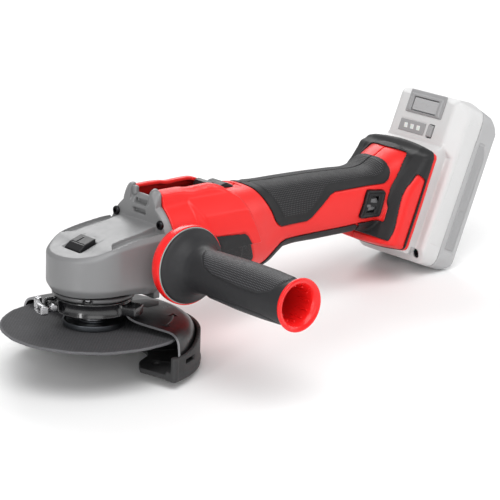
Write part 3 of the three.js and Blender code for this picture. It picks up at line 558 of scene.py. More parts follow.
def head_field(g):
    side = np.abs(g.y)
    half = along(g.x, [(-34, 32), (0, 32), (42, 34), (50, 34)])
    plan = np.where(g.x < 0, np.hypot(g.x, g.y), side) - half
    crease = along(g.x, CREASE)
    inset = along(g.x, [(-34, 2.0), (-10, 2.4), (10, 3.6), (44, 4.4)])
    ledge_top = crease + 0.85 * inset
    ledge = np.maximum((g.z - crease + 0.85 * plan) / 1.31, g.z - ledge_top)
    skirt = (plan * 1.6 + (30.5 - g.z)) / 1.9
    roundness = along(g.x, [(-34, 1.5), (20, 2), (36, 30), (50, 34)])
    wall = smooth_max(plan, along(g.x, HEAD_BOTTOM) - g.z, roundness)
    lower = hull_of(wall, ledge, skirt + np.where(g.x > 18, -0.12 * (g.x - 18), 0), blend=0.8)

    rail_top, edge = along(g.x, RAIL_TOP), along(g.x, RAIL_EDGE)
    outer = half - inset
    flank = (g.z - edge + (side - 18.5) * (edge - ledge_top - 0.4) / (outer - 18.5)) * 0.95
    rail = (g.z - rail_top + np.maximum(side - 12.8, 0) * (rail_top - edge) / 5.7) * 0.8
    nose_slope = (g.z - 54.8 - 0.22 * (g.x + 18.3)) * 0.97
    upper = hull_of(plan + inset, np.where(side > 18.5, flank, rail), nose_slope, crease - 4 - g.z,
                    blend=1.2)
    body = union_of(lower, upper, blend=0.7)
    body = carve(body, flank_pocket(g, plan + inset, ledge_top - 2.6), blend=0.7)

    rim = 1.8 * np.clip((40.4 - g.x) / 3.4, 0, 1)
    barrel = np.hypot(g.y, g.z - AXIS_Z) - (BARREL_RADIUS - rim)
    ridge = hull_of(side - 18 + rim * 0.2, rail, blend=2.0)
    flange = hull_of(union_of(barrel, ridge, blend=3), 36.8 - g.x, g.x - SEAM_X, blend=0.7)
    body = union_of(body, flange, blend=0.6)
    body = np.maximum(body, g.x - SEAM_X)
    body = np.where(g.x > 36, np.maximum(body, np.minimum(barrel, ridge)), body)

    floor = along(g.x, TROUGH_FLOOR)
    trough = hull_of(side - 10.2, (floor - g.z) * 0.85, -19 - g.x, blend=0.9)
    slots = [hull_of(side - 6.8, slab(g.z, low, high), slab(g.x, x0, x1), blend=0.4)
             for low, high, x0, x1 in ((71.2, 74, 28.4, 40), (77.2, 80.6, 33, 41.5))]
    ramp_pocket = hull_of(slab(g.y, -5, 7.5), g.z - 90, (70.4 - g.z) * 0.8, slab(g.x, 22.5, 33), blend=0.6)
    boss = rod(g.x - HANDLE_X, g.z - HANDLE_Z, 13, side, 20, 39, 0.8)
    bosses = hull_of(boss, g.x - SEAM_X + 0.001, blend=0.01)
    body = union_of(body, bosses, blend=2.0)
    stud_hole = rod(g.x - HANDLE_X, g.z - HANDLE_Z, 4, side, 24, 45, 0.3)
    button_well = hull_of(side - 8.7, slab(g.x, -18.8, -4.4), 44 - g.z, blend=0.3)
    gear_room = hull_of(np.hypot(g.x, g.y) - 21, slab(g.z, 15, 47), blend=0.6)
    motor_mouth = hull_of(np.hypot(g.y, g.z - AXIS_Z) - 11.3, 27 - g.x, blend=0.4)
    pinion_bore = np.maximum(np.hypot(g.y, g.z - AXIS_Z) - 9.5, -g.x)
    body = carve(body, trough, *slots, ramp_pocket, stud_hole, button_well, gear_room, motor_mouth,
                 pinion_bore)
    return body


HEAD_SCREWS = [(-24, 68), (24, 68), (-25.5, 28), (25.5, 28)]


def build_head():
    g = Grid((-34, -41, 15), (43.5, 41, 91.5), HEAD_STEP)
    head = piece("gear_head_casting", g.mesh(head_field(g)), CAST_GREY, "machine", ["gear_housing"])
    thin_out(head, 0.5, 32)
    lug = Grid((37, 4, 82), (47, 12, 92), 0.4)
    lug_field = hull_of(slab(lug.x, 38.4, 41.9), slab(lug.y, 6.2, 10.6), slab(lug.z, 82, 88.2), blend=1.2)
    piece("head_trough_lug", lug.mesh(lug_field), CAST_GREY, "machine", slot="cast_grey")
    for i, (y, z) in enumerate(HEAD_SCREWS):
        torx_screw(f"head_screw_fitted_{i + 1}", (36.75, y, z), "-x", 3.2, 2.0, "machine",
                   [f"head_screw_{i + 1}"])


def torx_outline(radius, count=48):
    angles = np.linspace(0, 2 * math.pi, count, endpoint=False)
    return radius * (1 + 0.17 * np.cos(6 * angles))


SCREW_AXES = {"-x": ((0, 1, 0), (0, 0, 1), (-1, 0, 0)), "-z": ((0, 1, 0), (1, 0, 0), (0, 0, -1)),
              "-y": ((1, 0, 0), (0, 0, 1), (0, -1, 0)), "+x": ((0, 0, 1), (0, 1, 0), (1, 0, 0)),
              "+y": ((0, 0, 1), (1, 0, 0), (0, 1, 0)), "+z": ((1, 0, 0), (0, 1, 0), (0, 0, 1))}


def torx_screw(name, centre, facing, radius, height, body, nodes=(), place=TOOL, material=None, **options):
    """A button-head screw with a six-lobed socket, its top facing along one axis."""
    count = 48
    angles = np.linspace(0, 2 * math.pi, count, endpoint=False)
    lobes = torx_outline(0.5 * radius, count)
    round_ring = np.full(count, radius)
    rings = [(round_ring * 0.98, 0.0), (round_ring, height * 0.45), (round_ring * 0.86, height * 0.86),
             (round_ring * 0.66, height), (lobes * 1.04, height), (lobes, height - 0.15),
             (lobes, height * 0.2), (np.full(count, 0.001), height * 0.2)]
    u, v, w = (np.array(a, float) for a in SCREW_AXES[facing])
    points = []
    for radii, level in rings:
        points.append(np.outer(radii * np.cos(angles), u) + np.outer(radii * np.sin(angles), v) + level * w)
    points.append(np.zeros((1, 3)))
    points = np.concatenate(points) + np.array(centre)
    faces = ring_faces(len(rings), count)
    base = len(points) - 1
    faces += [(base, (i + 1) % count, i) for i in range(count)]
    mesh_data = welded(points, faces)
    piece(name, mesh_data, material or BLACK_STEEL, body, nodes, place, 35, **options)


def ring_faces(rings, count):
    return [(r * count + i, r * count + (i + 1) % count, (r + 1) * count + (i + 1) % count,
             (r + 1) * count + i)
            for r in range(rings - 1) for i in range(count)]


def build_lock_button():
    g = Grid((-19.5, -9, 40), (-3.5, 9, 63.5), 0.35)
    outline = [(-18.3, 51.6), (-4.9, 57.0), (-4.9, 61.4), (-14.2, 58.2), (-18.4, 54.8)]
    cap = hull_of(polygon(g.x, g.z, outline), np.abs(g.y) - 8.3, blend=0.9)
    tilt = math.atan2(3.2, 9.3)
    along_top = (g.x + 14.2) * math.cos(tilt) + (g.z - 58.2) * math.sin(tilt)
    above_top = -(g.x + 14.2) * math.sin(tilt) + (g.z - 58.2) * math.cos(tilt)
    bar = hull_of(slab(along_top, 1.6, 7.6), slab(g.y, 1.6, 2.7), np.abs(above_top) - 0.3, blend=0.3)
    fold = hull_of(slab(along_top, 0.0, 0.55), np.abs(g.y) - 7.2, np.abs(above_top) - 0.22, blend=0.2)
    field = carve(union_of(cap, bar, blend=0.3), fold, blend=0.3)
    field = union_of(field, rod(g.x + 11.8, g.y, 1.8, g.z, 41, 56, 0.2), blend=0.2)
    piece("spindle_lock_button", g.mesh(field), HARD_BLACK, "lock_button", ["lock_button"])


def build_bearing_cap():
    g = Grid((-30, -30, 9), (30, 30, 29.5), 0.55)
    radius = np.hypot(g.x, g.y)
    neck = hull_of(radius - 23.4, slab(g.z, 10.4, 22.4), blend=0.8)
    flange = hull_of(radius - 28, slab(g.z, 21.6, 24.7), blend=1.0)
    spigot = hull_of(radius - 20.6, slab(g.z, 22, 28), blend=0.5)
    body = union_of(neck, flange, spigot, blend=0.8)
    body = carve(body, hull_of(radius - 11, slab(g.z, 0, 40), blend=0.4),
                 hull_of(radius - 16.4, slab(g.z, 13, 40), blend=0.4))
    for angle in CAP_SCREW_ANGLES:
        c, s = math.cos(angle), math.sin(angle)
        x, y = CAP_SCREW_RADIUS * c, CAP_SCREW_RADIUS * s
        notch = hull_of(np.hypot(g.x - x, g.y - y) - 3.2, g.z - 23.9, blend=0.4)
        outward_notch = hull_of(np.abs((g.x - x) * s - (g.y - y) * c) - 3.2,
                                x * c + y * s - g.x * c - g.y * s,
                                g.z - 23.9, blend=0.4)
        body = carve(body, hull_of(notch, 21.2 - g.z, blend=0.2),
                     hull_of(outward_notch, 21.2 - g.z, blend=0.2))
    piece("spindle_bearing_cap", g.mesh(body), CAP_GREY, "machine", ["bearing_cap"])
    for i, angle in enumerate(CAP_SCREW_ANGLES):
        centre = (CAP_SCREW_RADIUS * math.cos(angle), CAP_SCREW_RADIUS * math.sin(angle), 24.1)
        torx_screw(f"cap_screw_fitted_{i + 1}", centre, "-z", 2.4, 1.8, "machine", [f"cap_screw_{i + 1}"],
                   material=CHROME)


CAP_SCREW_RADIUS = 25.3
CAP_SCREW_ANGLES = [math.radians(a) for a in (45, 135, 225, 315)]
CAP_GREY = moulded("bearing_cap_grey", (0.10, 0.10, 0.102), 0.36, 0.5, 0.02, 0.05, 0.5)
HEAD_STEP = 0.62


# ---------------------------------------------------------------- spindle, disc and guard

DISC_RADIUS = 62.5


def rippled_disc():
    """The disc with the faint waves that its pressed mesh leaves in its rim and faces."""
    hole = 14.5
    rim_steps = [DISC_RADIUS - inset for inset in (1.3, 0.4)]
    top = [(r, -0.06) for r in [*np.linspace(hole, 60, 24), *rim_steps]] + [(DISC_RADIUS, -0.35)]
    profile = [(hole, -1.76)] + top + [(DISC_RADIUS, -1.4), (rim_steps[-1], -1.75), (40, -1.78),
                                       (25, -1.78)]
    points, faces = turned(profile, segments=256)
    radius = np.hypot(points[:, 0], points[:, 1])
    angle = np.arctan2(points[:, 1], points[:, 0])
    share = np.clip((radius - 30) / 32, 0, 1)
    wave = 0.14 * np.sin(7 * angle + 0.6) + 0.1 * np.sin(16 * angle)
    wave = wave + 0.05 * np.sin(45 * angle + radius * 0.4)
    points = points.copy()
    points[:, 2] += share * (wave - 0.22)
    stretch = 1 + share * (0.0016 * np.sin(23 * angle) + 0.0012 * np.sin(61 * angle + 1))
    points[:, :2] *= stretch[:, None]
    return points, faces


def threaded(radius, low, high, pitch=2.0, depth=1.05):
    """A profile edge with thread grooves, from low to high."""
    count = int((high - low) / pitch)
    points = []
    for i in range(count):
        z = low + i * pitch
        points += [(radius - depth, z + 0.1), (radius, z + 0.8 * pitch / 2), (radius, z + 1.2 * pitch / 2),
                   (radius - depth, z + pitch - 0.1)]
    return points


def build_spindle_pieces():
    piece("cutting_disc_mesh", rippled_disc(), DISC_MESH, "spindle", ["cutting_disc"], smooth_angle=50)
    bush = softened([(11.1, -1.0), (11.1, -0.02), (14.9, -0.02), (14.9, -0.3), (14.3, -0.5), (14.3, -1.5),
                     (14.9, -1.7), (14.9, -1.84), (11.1, -1.84), (11.1, -1.0)], 0.15)
    piece("disc_centre_bush", turned(bush), BUSH_STEEL, "spindle", slot="bright_steel")
    flange = softened([(7.1, 1), (7.1, -1.5), (10.8, -1.5), (10.8, 0.3), (20.6, 0.3), (20.6, 4.1),
                       (19.2, 4.1),
                       (18.4, 3.2), (9.4, 3.2), (9.4, 4.1), (7.1, 4.1), (7.1, 1)], 0.5)
    piece("inner_disc_flange", turned(flange), FLANGE_STEEL, "spindle", ["inner_flange"])
    shaft = [(0, -7.4), (3.2, -7.6), (4.4, -9.5), (6.2, -9.5), (6.8, -8.9)]
    shaft += threaded(6.8, -8.7, 1.3) + [(6.75, 1.5), (6.75, 4.4), (8.6, 4.4), (8.6, 12.4), (7.2, 12.9),
                                         (7.2, 43.4),
                                         (3.8, 43.6), (3.8, 49.4), (3.4, 49.8), (0, 49.8)]
    piece("threaded_spindle", turned(shaft, segments=72), SHAFT_STEEL, "spindle", ["spindle"],
          smooth_angle=30)


def arc_arrow(g, radius, start, end, face_z):
    """A raised arc with an arrowhead at its end, on a face of constant z. Angles in radians."""
    height, width = 0.3, 0.6
    r, angle = np.hypot(g.x, g.y), np.arctan2(g.y, g.x)
    arc = hull_of(np.abs(r - radius) - width, (start - angle) * radius, (angle - end) * radius, blend=0.2)
    tip = (angle - end) * radius
    head = hull_of(np.abs(r - radius) - (2.4 - tip) * 0.7, -tip, tip - 2.4, blend=0.2)
    return hull_of(np.minimum(arc, head), np.abs(g.z - face_z) - height, blend=0.2)


def build_nut():
    g = Grid((-23.2, -23.2, -10.9), (23.2, 23.2, -1.4), 0.42)
    r, angle = np.hypot(g.x, g.y), np.arctan2(g.y, g.x)
    knurl = 0.28 * np.cos(64 * angle) * (np.abs(g.z + 6) < 2.6)
    body = hull_of(r - 21.9 + knurl, slab(g.z, -10.1, -2.1), blend=1.0)
    thread = 0.45 * np.cos(math.pi * g.z)
    dish = hull_of(slab(r, 10.6, 12.4), g.z + 9.6, blend=0.4)
    top_dish = hull_of(r - 12, -2.5 - g.z, blend=0.3)
    body = carve(body, r - 7.3 - thread, dish, top_dish, blend=0.3)
    for x in (-15.0, 15.0):
        body = carve(body, rod(g.x - x, g.y, 2.5, g.z, -12, -5.1, 0.3), blend=0.4)
        body = carve(body, rod(g.x, g.y - x, 1.7, g.z, -12, -7.5, 0.3), blend=0.3)
    for turn in (0.45, 0.45 - math.pi):
        body = union_of(body, arc_arrow(g, 16.6, turn, turn + 0.75, -10.1), blend=0.2)
    padlock = hull_of(slab(g.x, 9.8, 13.2), slab(g.y, -14.4, -11.8), np.abs(g.z + 10.1) - 0.3, blend=0.2)
    shackle = hull_of(np.abs(np.hypot(g.x - 11.5, g.y + 11.8) - 1.3) - 0.35, -11.8 - g.y,
                      np.abs(g.z + 10.1) - 0.3,
                      blend=0.2)
    body = union_of(body, padlock, shackle, blend=0.2)
    nut = piece("quick_clamping_nut", g.mesh(body), NUT_STEEL, "nut", ["quick_nut"])
    thin_out(nut, 0.55, 32)


GUARD_START, GUARD_END = -70.0, 98.0
COVER_START, COVER_END = -79.0, 98.0
GUARD_PROFILE = [(27, 11.3), (28.4, 9.6), (32, 8.2), (38, 7.2), (61, 5.2), (65.4, 3.0), (67.9, -1.4),
                 (68.8, -12)]


def resampled(profile, spacing):
    """Points at an even spacing along a line."""
    points = np.array(profile, float)
    gaps = np.hypot(*np.diff(points, axis=0).T)
    places = np.concatenate([[0], np.cumsum(gaps)])
    count = int(places[-1] / spacing) + 1
    at = np.linspace(0, places[-1], count)
    return np.stack([np.interp(at, places, points[:, k]) for k in (0, 1)], 1)


def sheet_profile(line, thickness):
    """A closed outline round a sheet whose outer face is the line."""
    step = np.gradient(line, axis=0)
    normal = np.stack([step[:, 1], -step[:, 0]], 1) / np.hypot(step[:, 0], step[:, 1])[:, None]
    inner = line + normal * thickness
    return np.concatenate([line, inner[::-1]])


def guard_relief(radius, angle):
    """Height of the arrow pressed into the guard: a curved shaft with a barb and a base line."""
    degrees = np.degrees(angle)
    shaft = np.clip(1.3 - np.abs(radius - 53.2) / 0.55, 0, 1) * ((degrees > -60) & (degrees < -36))
    reach = (degrees + 30) * -0.93
    barb = np.clip(1.5 - np.abs(np.abs(radius - 53.2) - 0.55 * (reach - 1)) / 0.6, 0, 1)
    barb *= (reach > 1) & (reach < 5.4)
    base = np.clip(1.3 - np.abs((degrees + 61.5) * 0.93) / 0.6, 0, 1) * (np.abs(radius - 53.2) < 2.6)
    return np.maximum(np.maximum(shaft, barb), base)


def build_guard_sheet():
    line = resampled(softened(GUARD_PROFILE, 3.0, 6), 0.7)
    profile = sheet_profile(line, 1.6)
    points, faces = turned(profile, segments=336, start=GUARD_START, sweep=GUARD_END - GUARD_START)
    points = np.array(points)
    radius, angle = np.hypot(points[:, 0], points[:, 1]), np.arctan2(points[:, 1], points[:, 0])
    top = points[:, 2] > np.interp(radius, *np.array(GUARD_PROFILE[:-1]).T) - 0.8
    points[:, 2] += 0.55 * guard_relief(radius, angle) * top
    sheet = piece("guard_sheet", (points, faces), GUARD_PAINT, "guard", ["guard"], smooth_angle=40)
    sheet.data.materials.append(CUT_EDGE)
    for polygon_face in sheet.data.polygons:
        if len(polygon_face.vertices) > 4:
            polygon_face.material_index = 1
    build_guard_label()


def build_guard_label():
    g = Grid((30, -14, 4), (62, 18, 10), 0.4)
    radius = np.hypot(g.x, g.y)
    surface = np.interp(radius, *np.array(GUARD_PROFILE[:-1]).T)
    outline = [(33.5, -4), (38.6, -9.2), (50.5, -6.2), (56.5, 1.5), (52, 10), (34.5, 9.5)]
    field = hull_of(polygon(g.x, g.y, outline), np.abs(g.z - surface) - 0.35, blend=0.15)
    piece("guard_label", g.mesh(field), LABEL_GREY, "guard", slot="hard_black")


CLAMP_TURN, TAB_TURN = math.radians(161), math.radians(-68)
CLAMP_Z = 15.6
CLAMP_PLACE = TOOL @ Matrix.Rotation(CLAMP_TURN, 4, "Z")


def turned_about_spindle(g, angle):
    """The grid's x and y in axes turned about the spindle."""
    c, s = math.cos(angle), math.sin(angle)
    return g.x * c + g.y * s, g.y * c - g.x * s


def build_clamp():
    g = Grid((-40, -40, 9), (40, 40, 22), 0.5)
    r = np.hypot(g.x, g.y)
    local_x, local_y = turned_about_spindle(g, CLAMP_TURN)
    outer = 25.6 + 0.9 * np.clip(np.abs(g.z - 15.4) / 5, 0, 1) ** 2
    band = hull_of(r - outer, 23.9 - r, slab(g.z, 10.7, 20.6), blend=0.7)
    band = carve(band, hull_of(np.abs(local_y) - 2.5, -local_x, blend=0.3), blend=0.3)
    for side in (-1, 1):
        ear = hull_of(slab(local_x, 25, 33), slab(local_y * side, 2.5, 5), slab(g.z, 11.6, 19.8), blend=1.0)
        band = union_of(band, ear, blend=1.2)
    band = carve(band, rod(local_x - 30, g.z - CLAMP_Z, 2.1, local_y, -12, 12, 0.2), blend=0.2)
    tab_x, tab_y = turned_about_spindle(g, TAB_TURN)
    tab = hull_of(slab(tab_x, 24, 36.4), slab(tab_y, -7, 6.4), slab(g.z, 11.8, 18.2), blend=1.0)
    band = union_of(band, hull_of(tab, tab_x - 36.4 + 0.25 * np.maximum(tab_y, 0), blend=0.6), blend=1.5)
    band = np.maximum(band, 23.9 - r)
    loop = piece("clamp_band_ring", g.mesh(band), BAND_GLOSS, "guard", ["clamp_band"])
    thin_out(loop, 0.6, 34)
    bolt = softened([(0, -9.0), (2.2, -9.0), (3.1, -8.2), (3.1, -5.3), (1.8, -5.3), (1.8, 5.3), (3.1, 5.3),
                     (3.1, 8.2),
                     (2.2, 8.8), (0, 8.8)], 0.35)
    bolt_place = CLAMP_PLACE @ Matrix.Translation((30 * MM, 0, CLAMP_Z * MM))
    piece("clamp_bolt_pin", turned(bolt, "y", segments=40), CHROME, "guard", ["clamp_bolt"],
          place=bolt_place)
    build_clamp_lever()


def build_clamp_lever():
    """A bent, plated lever with a window, an eye round its pivot and a hooked end."""
    g = Grid((28, -12, 11), (42, 15.5, 21), 0.35)
    spine = [(34.6, -9), (37.4, -9), (39.2, -2), (39.8, 5), (38.2, 13.2), (36.2, 13.2), (37.4, 5),
             (36.6, -1)]
    plate = hull_of(polygon(g.x, g.y, spine), slab(g.z, 12.4, 18.8), blend=0.7)
    window = hull_of(slab(g.y, 0.5, 9.5), slab(g.z, 14.1, 17.1), blend=0.9)
    rib = hull_of(polygon(g.x, g.y, [(38.4, -6), (40.4, -2), (41, 5), (39.4, 12.4), (37.6, 13)]),
                  np.abs(np.abs(g.z - CLAMP_Z) - 2.7) - 0.5, blend=0.4)
    eye = hull_of(np.hypot(g.x - 36.4, g.y + 7) - 2.6, slab(g.z, 12.2, 19.6), blend=0.6)
    hook = hull_of(slab(g.x, 35, 40.4), slab(g.y, 11.8, 13.8), slab(g.z, 12.8, 18.4), blend=0.7)
    pin = hull_of(np.hypot(g.x - 36.4, g.y + 7) - 1.3, slab(g.z, 11.6, 20.3), blend=0.3)
    field = union_of(carve(union_of(plate, rib, blend=0.5), window, blend=0.4), eye, hook, blend=0.6)
    piece("clamp_lever_plated", g.mesh(union_of(field, pin, blend=0.2)), CHROME, "clamp_lever",
          ["clamp_lever"],
          place=CLAMP_PLACE)


def build_cover():
    g = Grid((-16, -74, -26.5), (74, 74, -1.5), 0.72)
    r, angle = np.hypot(g.x, g.y), np.degrees(np.arctan2(g.y, g.x))
    arc_mm = np.radians(angle) * 71
    teeth = np.where((angle > -50) & (angle < 90),
                     np.clip(1.2 * np.sin(arc_mm * 2 * math.pi / 3.4), -0.6, 0.6), 0)
    rim = along(angle, [(-79, -9.6), (-62, -8.0), (-46, -3.6), (80, -3.6), (92, -7), (98, -8)])
    sides = hull_of(COVER_START - angle, angle - COVER_END, blend=0.8)
    wall = hull_of(slab(r, 69.4, 71.9), -25 - g.z, g.z - rim + teeth * 0.8, blend=0.7)
    lip = hull_of(slab(r, 69.4, 72.3), np.abs(g.z + 21.6) - 0.8, blend=0.5)
    inner_edge = along(angle, [(-79, 42), (-72, 37.5), (-30, 37), (60, 37), (90, 37.5), (98, 42)])
    plate = hull_of(inner_edge - r, r - 71.9, slab(g.z, -25, -21.2), blend=1.0)
    body = hull_of(union_of(wall, lip, plate, blend=1.2), sides, blend=0.8)
    slot = hull_of(slab(g.z, -15.4, -12.6), slab(angle, -68, -57) * 1.2, 60 - r, blend=0.6)
    slots = [slot] + [hull_of(slab(g.z, -15.4, -12.6), slab(angle, a, a + 9) * 1.2, 60 - r, blend=0.6)
                      for a in (-20, 20, 60)]
    holes = [np.hypot(g.x - 46 * math.cos(a), g.y - 46 * math.sin(a)) - 2.6 for a in (-1.05, 0.0, 1.2)]
    ribs = [hull_of(np.abs((angle - a) * 1.1) - 0.7, slab(r, 40, 70), slab(g.z, -21.6, -20.4), blend=0.4)
            for a in (-55, -25, 5, 35, 65)]
    body = union_of(body, *ribs, blend=0.5)
    body = carve(body, *slots, *holes, blend=0.6)
    post = hull_of(np.hypot(g.x - 15.6, g.y + 68.6) - 2.5, slab(g.z, -25, -8.6), blend=0.7)
    foot = hull_of(slab(r, 64, 71.9), slab(angle, -79, -73) * 1.2, slab(g.z, -25, -19), blend=0.8)
    body = union_of(body, np.maximum(post, 66.5 - r), foot, blend=0.8)
    cover = piece("clip_on_guard_cover", g.mesh(body), COVER_PLASTIC, "guard", ["guard_cover"])
    thin_out(cover, 0.5, 34)


BAND_GLOSS = moulded("clamp_band_gloss_black", (0.006, 0.006, 0.007), 0.2, 0.8, 0.006, 0.1, 0.0, 0.7, 0.3)


# ---------------------------------------------------------------- side handle

HANDLE_TURN = (HANDLE_X, 0, HANDLE_Z)


def relief(points, centre, height_of):
    """Moves each point of a piece turned about Y outwards by height_of(distance along, angle)."""
    x, z = points[:, 0] - centre[0], points[:, 2] - centre[2]
    radius, angle = np.hypot(x, z), np.arctan2(z, x)
    grow = 1 + height_of(points[:, 1], angle, radius) / np.maximum(radius, 1)
    moved = points.copy()
    moved[:, 0], moved[:, 2] = centre[0] + x * grow, centre[2] + z * grow
    return moved


def grip_panel(y, angle):
    """How far inside the handle's dotted panel a point lies, in mm: the panel is a long pointed oval."""
    facing = np.abs(np.mod(angle - PANEL_ANGLE + math.pi / 2, math.pi) - math.pi / 2)
    half_width = np.interp(-y, *np.array(PANEL_WIDTHS).T)
    return half_width - facing * GRIP_RADIUS


GRIP_RADIUS = 15.6
PANEL_ANGLE = math.radians(100)
PANEL_WIDTHS = [(72, -2), (76, 6), (84, 13.5), (94, 16.5), (120, 18), (140, 17.5), (150, 14), (156, 4),
                (158, -3)]


def handle_relief(y, angle, radius):
    inside = grip_panel(y, angle)
    groove = -0.55 * np.clip(1 - np.abs(inside) / 0.9, 0, 1)
    crown = 0.5 * np.clip(inside / 3, 0, 1)
    return np.where(radius > 14, groove + crown, 0)


def build_handle():
    flare = [(11.6, -47.4), (25.5, -54.4), (25.5, -56.0), (24.6, -57.1), (21.4, -59.2), (18.6, -62.2),
             (16.2, -66.2),
             (15.0, -71), (14.9, -78), (15.3, -92), (16.0, -112), (15.9, -135), (15.3, -150),
             (15.2, -159.8),
             (14.4, -161.0), (13.5, -161.0)]
    outer = resampled(softened(flare[1:], 1.2, 5), 0.7)
    line = [(3.9, -74), (3.9, -40), (11.4, -40), (11.4, -54.4), *outer.tolist(), (13.5, -76), (3.9, -74)]
    points, faces = turned(line, "y", HANDLE_TURN, 288)
    points = relief(np.array(points), HANDLE_TURN, handle_relief)
    grip = piece("handle_grip_rubber", (points, faces), HANDLE_DOTS, "side_handle", ["handle_grip"],
                 smooth_angle=42)

    def surface(p):
        x, z = p[:, 0] - HANDLE_TURN[0], p[:, 2] - HANDLE_TURN[2]
        radius, angle = np.hypot(x, z), np.arctan2(z, x)
        dots = np.clip(grip_panel(p[:, 1], angle) - 0.9, 0, 1) * (radius > 14)
        return np.stack([angle * GRIP_RADIUS, p[:, 1], dots], 1)

    pattern_coordinates(grip, surface)
    ring = softened([(11.8, -50), (11.8, -43.4), (22.6, -43.4), (25.4, -45.4), (26.8, -49), (27.0, -52.4),
                     (26.8, -54.2),
                     (25.9, -54.2), (25.7, -53.6), (11.8, -53.6), (11.8, -50)], 0.7, 5)
    piece("handle_red_flange", turned(ring, "y", HANDLE_TURN, 160), RED_GLOSS, "side_handle",
          ["handle_ring"])
    seal = softened([(25.0, -53.7), (26.0, -53.7), (26.0, -54.4), (25.8, -54.8), (25.0, -54.8),
                     (25.0, -53.7)], 0.2)
    piece("handle_pale_seal", turned(seal, "y", HANDLE_TURN, 160), PALE_LINE, "side_handle",
          slot="cast_grey")
    cap = softened([(11.8, -130), (13.2, -130), (13.2, -158), (15.3, -160.2), (16.9, -161.6),
                    (17.7, -163.2),
                    (17.4, -164.4), (16.4, -164.8), (14.2, -163.8), (12.6, -161.0), (11.8, -157),
                    (11.8, -130)], 0.9, 5)
    piece("handle_red_end_cap", turned(cap, "y", HANDLE_TURN, 128), RED_GLOSS, "side_handle",
          ["handle_cap"])
    plug = softened([(0, -126.5), (9.5, -126.5), (11.75, -128.5), (11.75, -133), (10.6, -134.2),
                     (3.0, -134.2),
                     (2.2, -133), (0, -133)], 0.5)
    piece("handle_bore_plug", turned(plug, "y", HANDLE_TURN, 72), SATIN_BLACK, "side_handle",
          slot="soft_black")
    stud = [(0, -72), (3.6, -72)] + [(r, -y) for r, y in reversed(threaded(3.6, 24.6, 68.6, 1.5, 0.5))]
    stud += [(2.8, -24.5), (0, -24.5)]
    piece("handle_threaded_stud", turned(stud, "y", HANDLE_TURN, 40), SHAFT_STEEL, "side_handle",
          ["handle_stud"],
          smooth_angle=30)
    for ridge in range(12):
        handle_cap_rib(ridge)


def handle_cap_rib(index):
    """One of the short ribs moulded round the inside of the red end cap."""
    angle = index * math.pi / 6
    g = Grid((-1.1, -160.5, 10.3), (1.1, -148, 12.5), 0.25)
    field = hull_of(np.abs(g.x) - 0.6, slab(g.y, -159.6, -149), slab(g.z, 10.9, 12.1), blend=0.4)
    place = TOOL @ Matrix.Translation((HANDLE_X * MM, 0, HANDLE_Z * MM)) @ Matrix.Rotation(angle, 4, "Y")
    piece(f"handle_cap_rib_{index + 1}", g.mesh(field), RED_GLOSS, "side_handle", place=place,
          slot="housing_red")


# ---------------------------------------------------------------- motor housing

SHELL = 2.6
HOUSING_STEP = 0.78
GRIP_HALF = [(42, 34), (90, 33.6), (108, 32), (120, 28.6), (132, 24.8), (142, 22.6), (153, 21.5),
             (175, 21.2),
             (205, 21.5), (232, 22), (242, 22.8), (250, 23.8), (258, 25.5), (300, 26)]
GRIP_LOW = [(42, 16.5), (90, 17.3), (108, 18.2), (122, 19), (132, 20.2), (139, 22.6), (146, 27.4),
            (152, 31.2),
            (158, 32.2), (186, 32.7), (214, 33), (300, 33)]
GRIP_HIGH = [(42, 84), (90, 83.4), (104, 82), (112, 81.5), (120, 80.8), (130, 79.3), (140, 78.6),
             (165, 78.2),
             (189, 77.7), (213, 76.8), (232, 76.4), (238, 77.6), (244, 80.2), (251, 83.8), (258, 87.5),
             (300, 88)]
GRIP_POWER = [(42, 2.35), (90, 2.4), (108, 2.5), (132, 2.75), (300, 2.75)]


def superellipse(g, halves, lows, highs, powers):
    """A lofted section: |y/a|^p + |z/h|^p = 1 about the mid height, all read along x."""
    half, power = along(g.x, halves), along(g.x, powers)
    low, high = along(g.x, lows), along(g.x, highs)
    middle, rise = (low + high) / 2, (high - low) / 2
    u, v = np.abs(g.y) / half, np.abs(g.z - middle) / rise
    r = (u ** power + v ** power + 1e-9) ** (1 / power)
    return (r - 1) * np.hypot(u * half, v * rise) / np.maximum(r, 0.05)


def rail_coordinates(g):
    c, s = math.cos(RAIL_TILT), math.sin(RAIL_TILT)
    return g.x * c - g.z * s, g.x * s + g.z * c


FOOT_FACE = [(108, 206.4), (112, 205), (132, 204), (152, 204), (160, 206), (168, 209.3), (176, 211.8),
             (181, 213.4),
             (183.5, 216.4), (187.6, 218.6), (190, 219.6)]


def foot_field(g):
    """The wide foot that carries the battery rail: its front face leans back above the grip."""
    n, a = rail_coordinates(g)
    side = np.abs(g.y)
    width = along(a, [(108, 36.9), (150, 36.7), (184, 35.8)])
    box = hull_of(side - width, a - 189.5 + 0.003 * side ** 2, 110.8 + 0.0022 * side ** 2 - a, blend=3.5)
    face = along(a, FOOT_FACE)
    front = (face - n + np.maximum(side - 25, 0) * 0.38) * 0.86
    bevel = (face + 3.6 - n + (side - 34.2) * 1.5) * 0.55
    return hull_of(box, front, bevel, n - 226, blend=1.2)


RIDGE_TOP = [(42, 88.3), (60, 88.2), (69, 87.0), (76, 87.3), (92, 86.4), (97, 84.4), (106, 79.5), (112, 76)]


def facet(side, z, y1, z1, y2, z2):
    """A half-plane through two points of the cross-section, solid below it."""
    run, rise = y2 - y1, z1 - z2
    length = math.hypot(run, rise)
    return ((side - y1) * rise + (z - z1) * run) / length


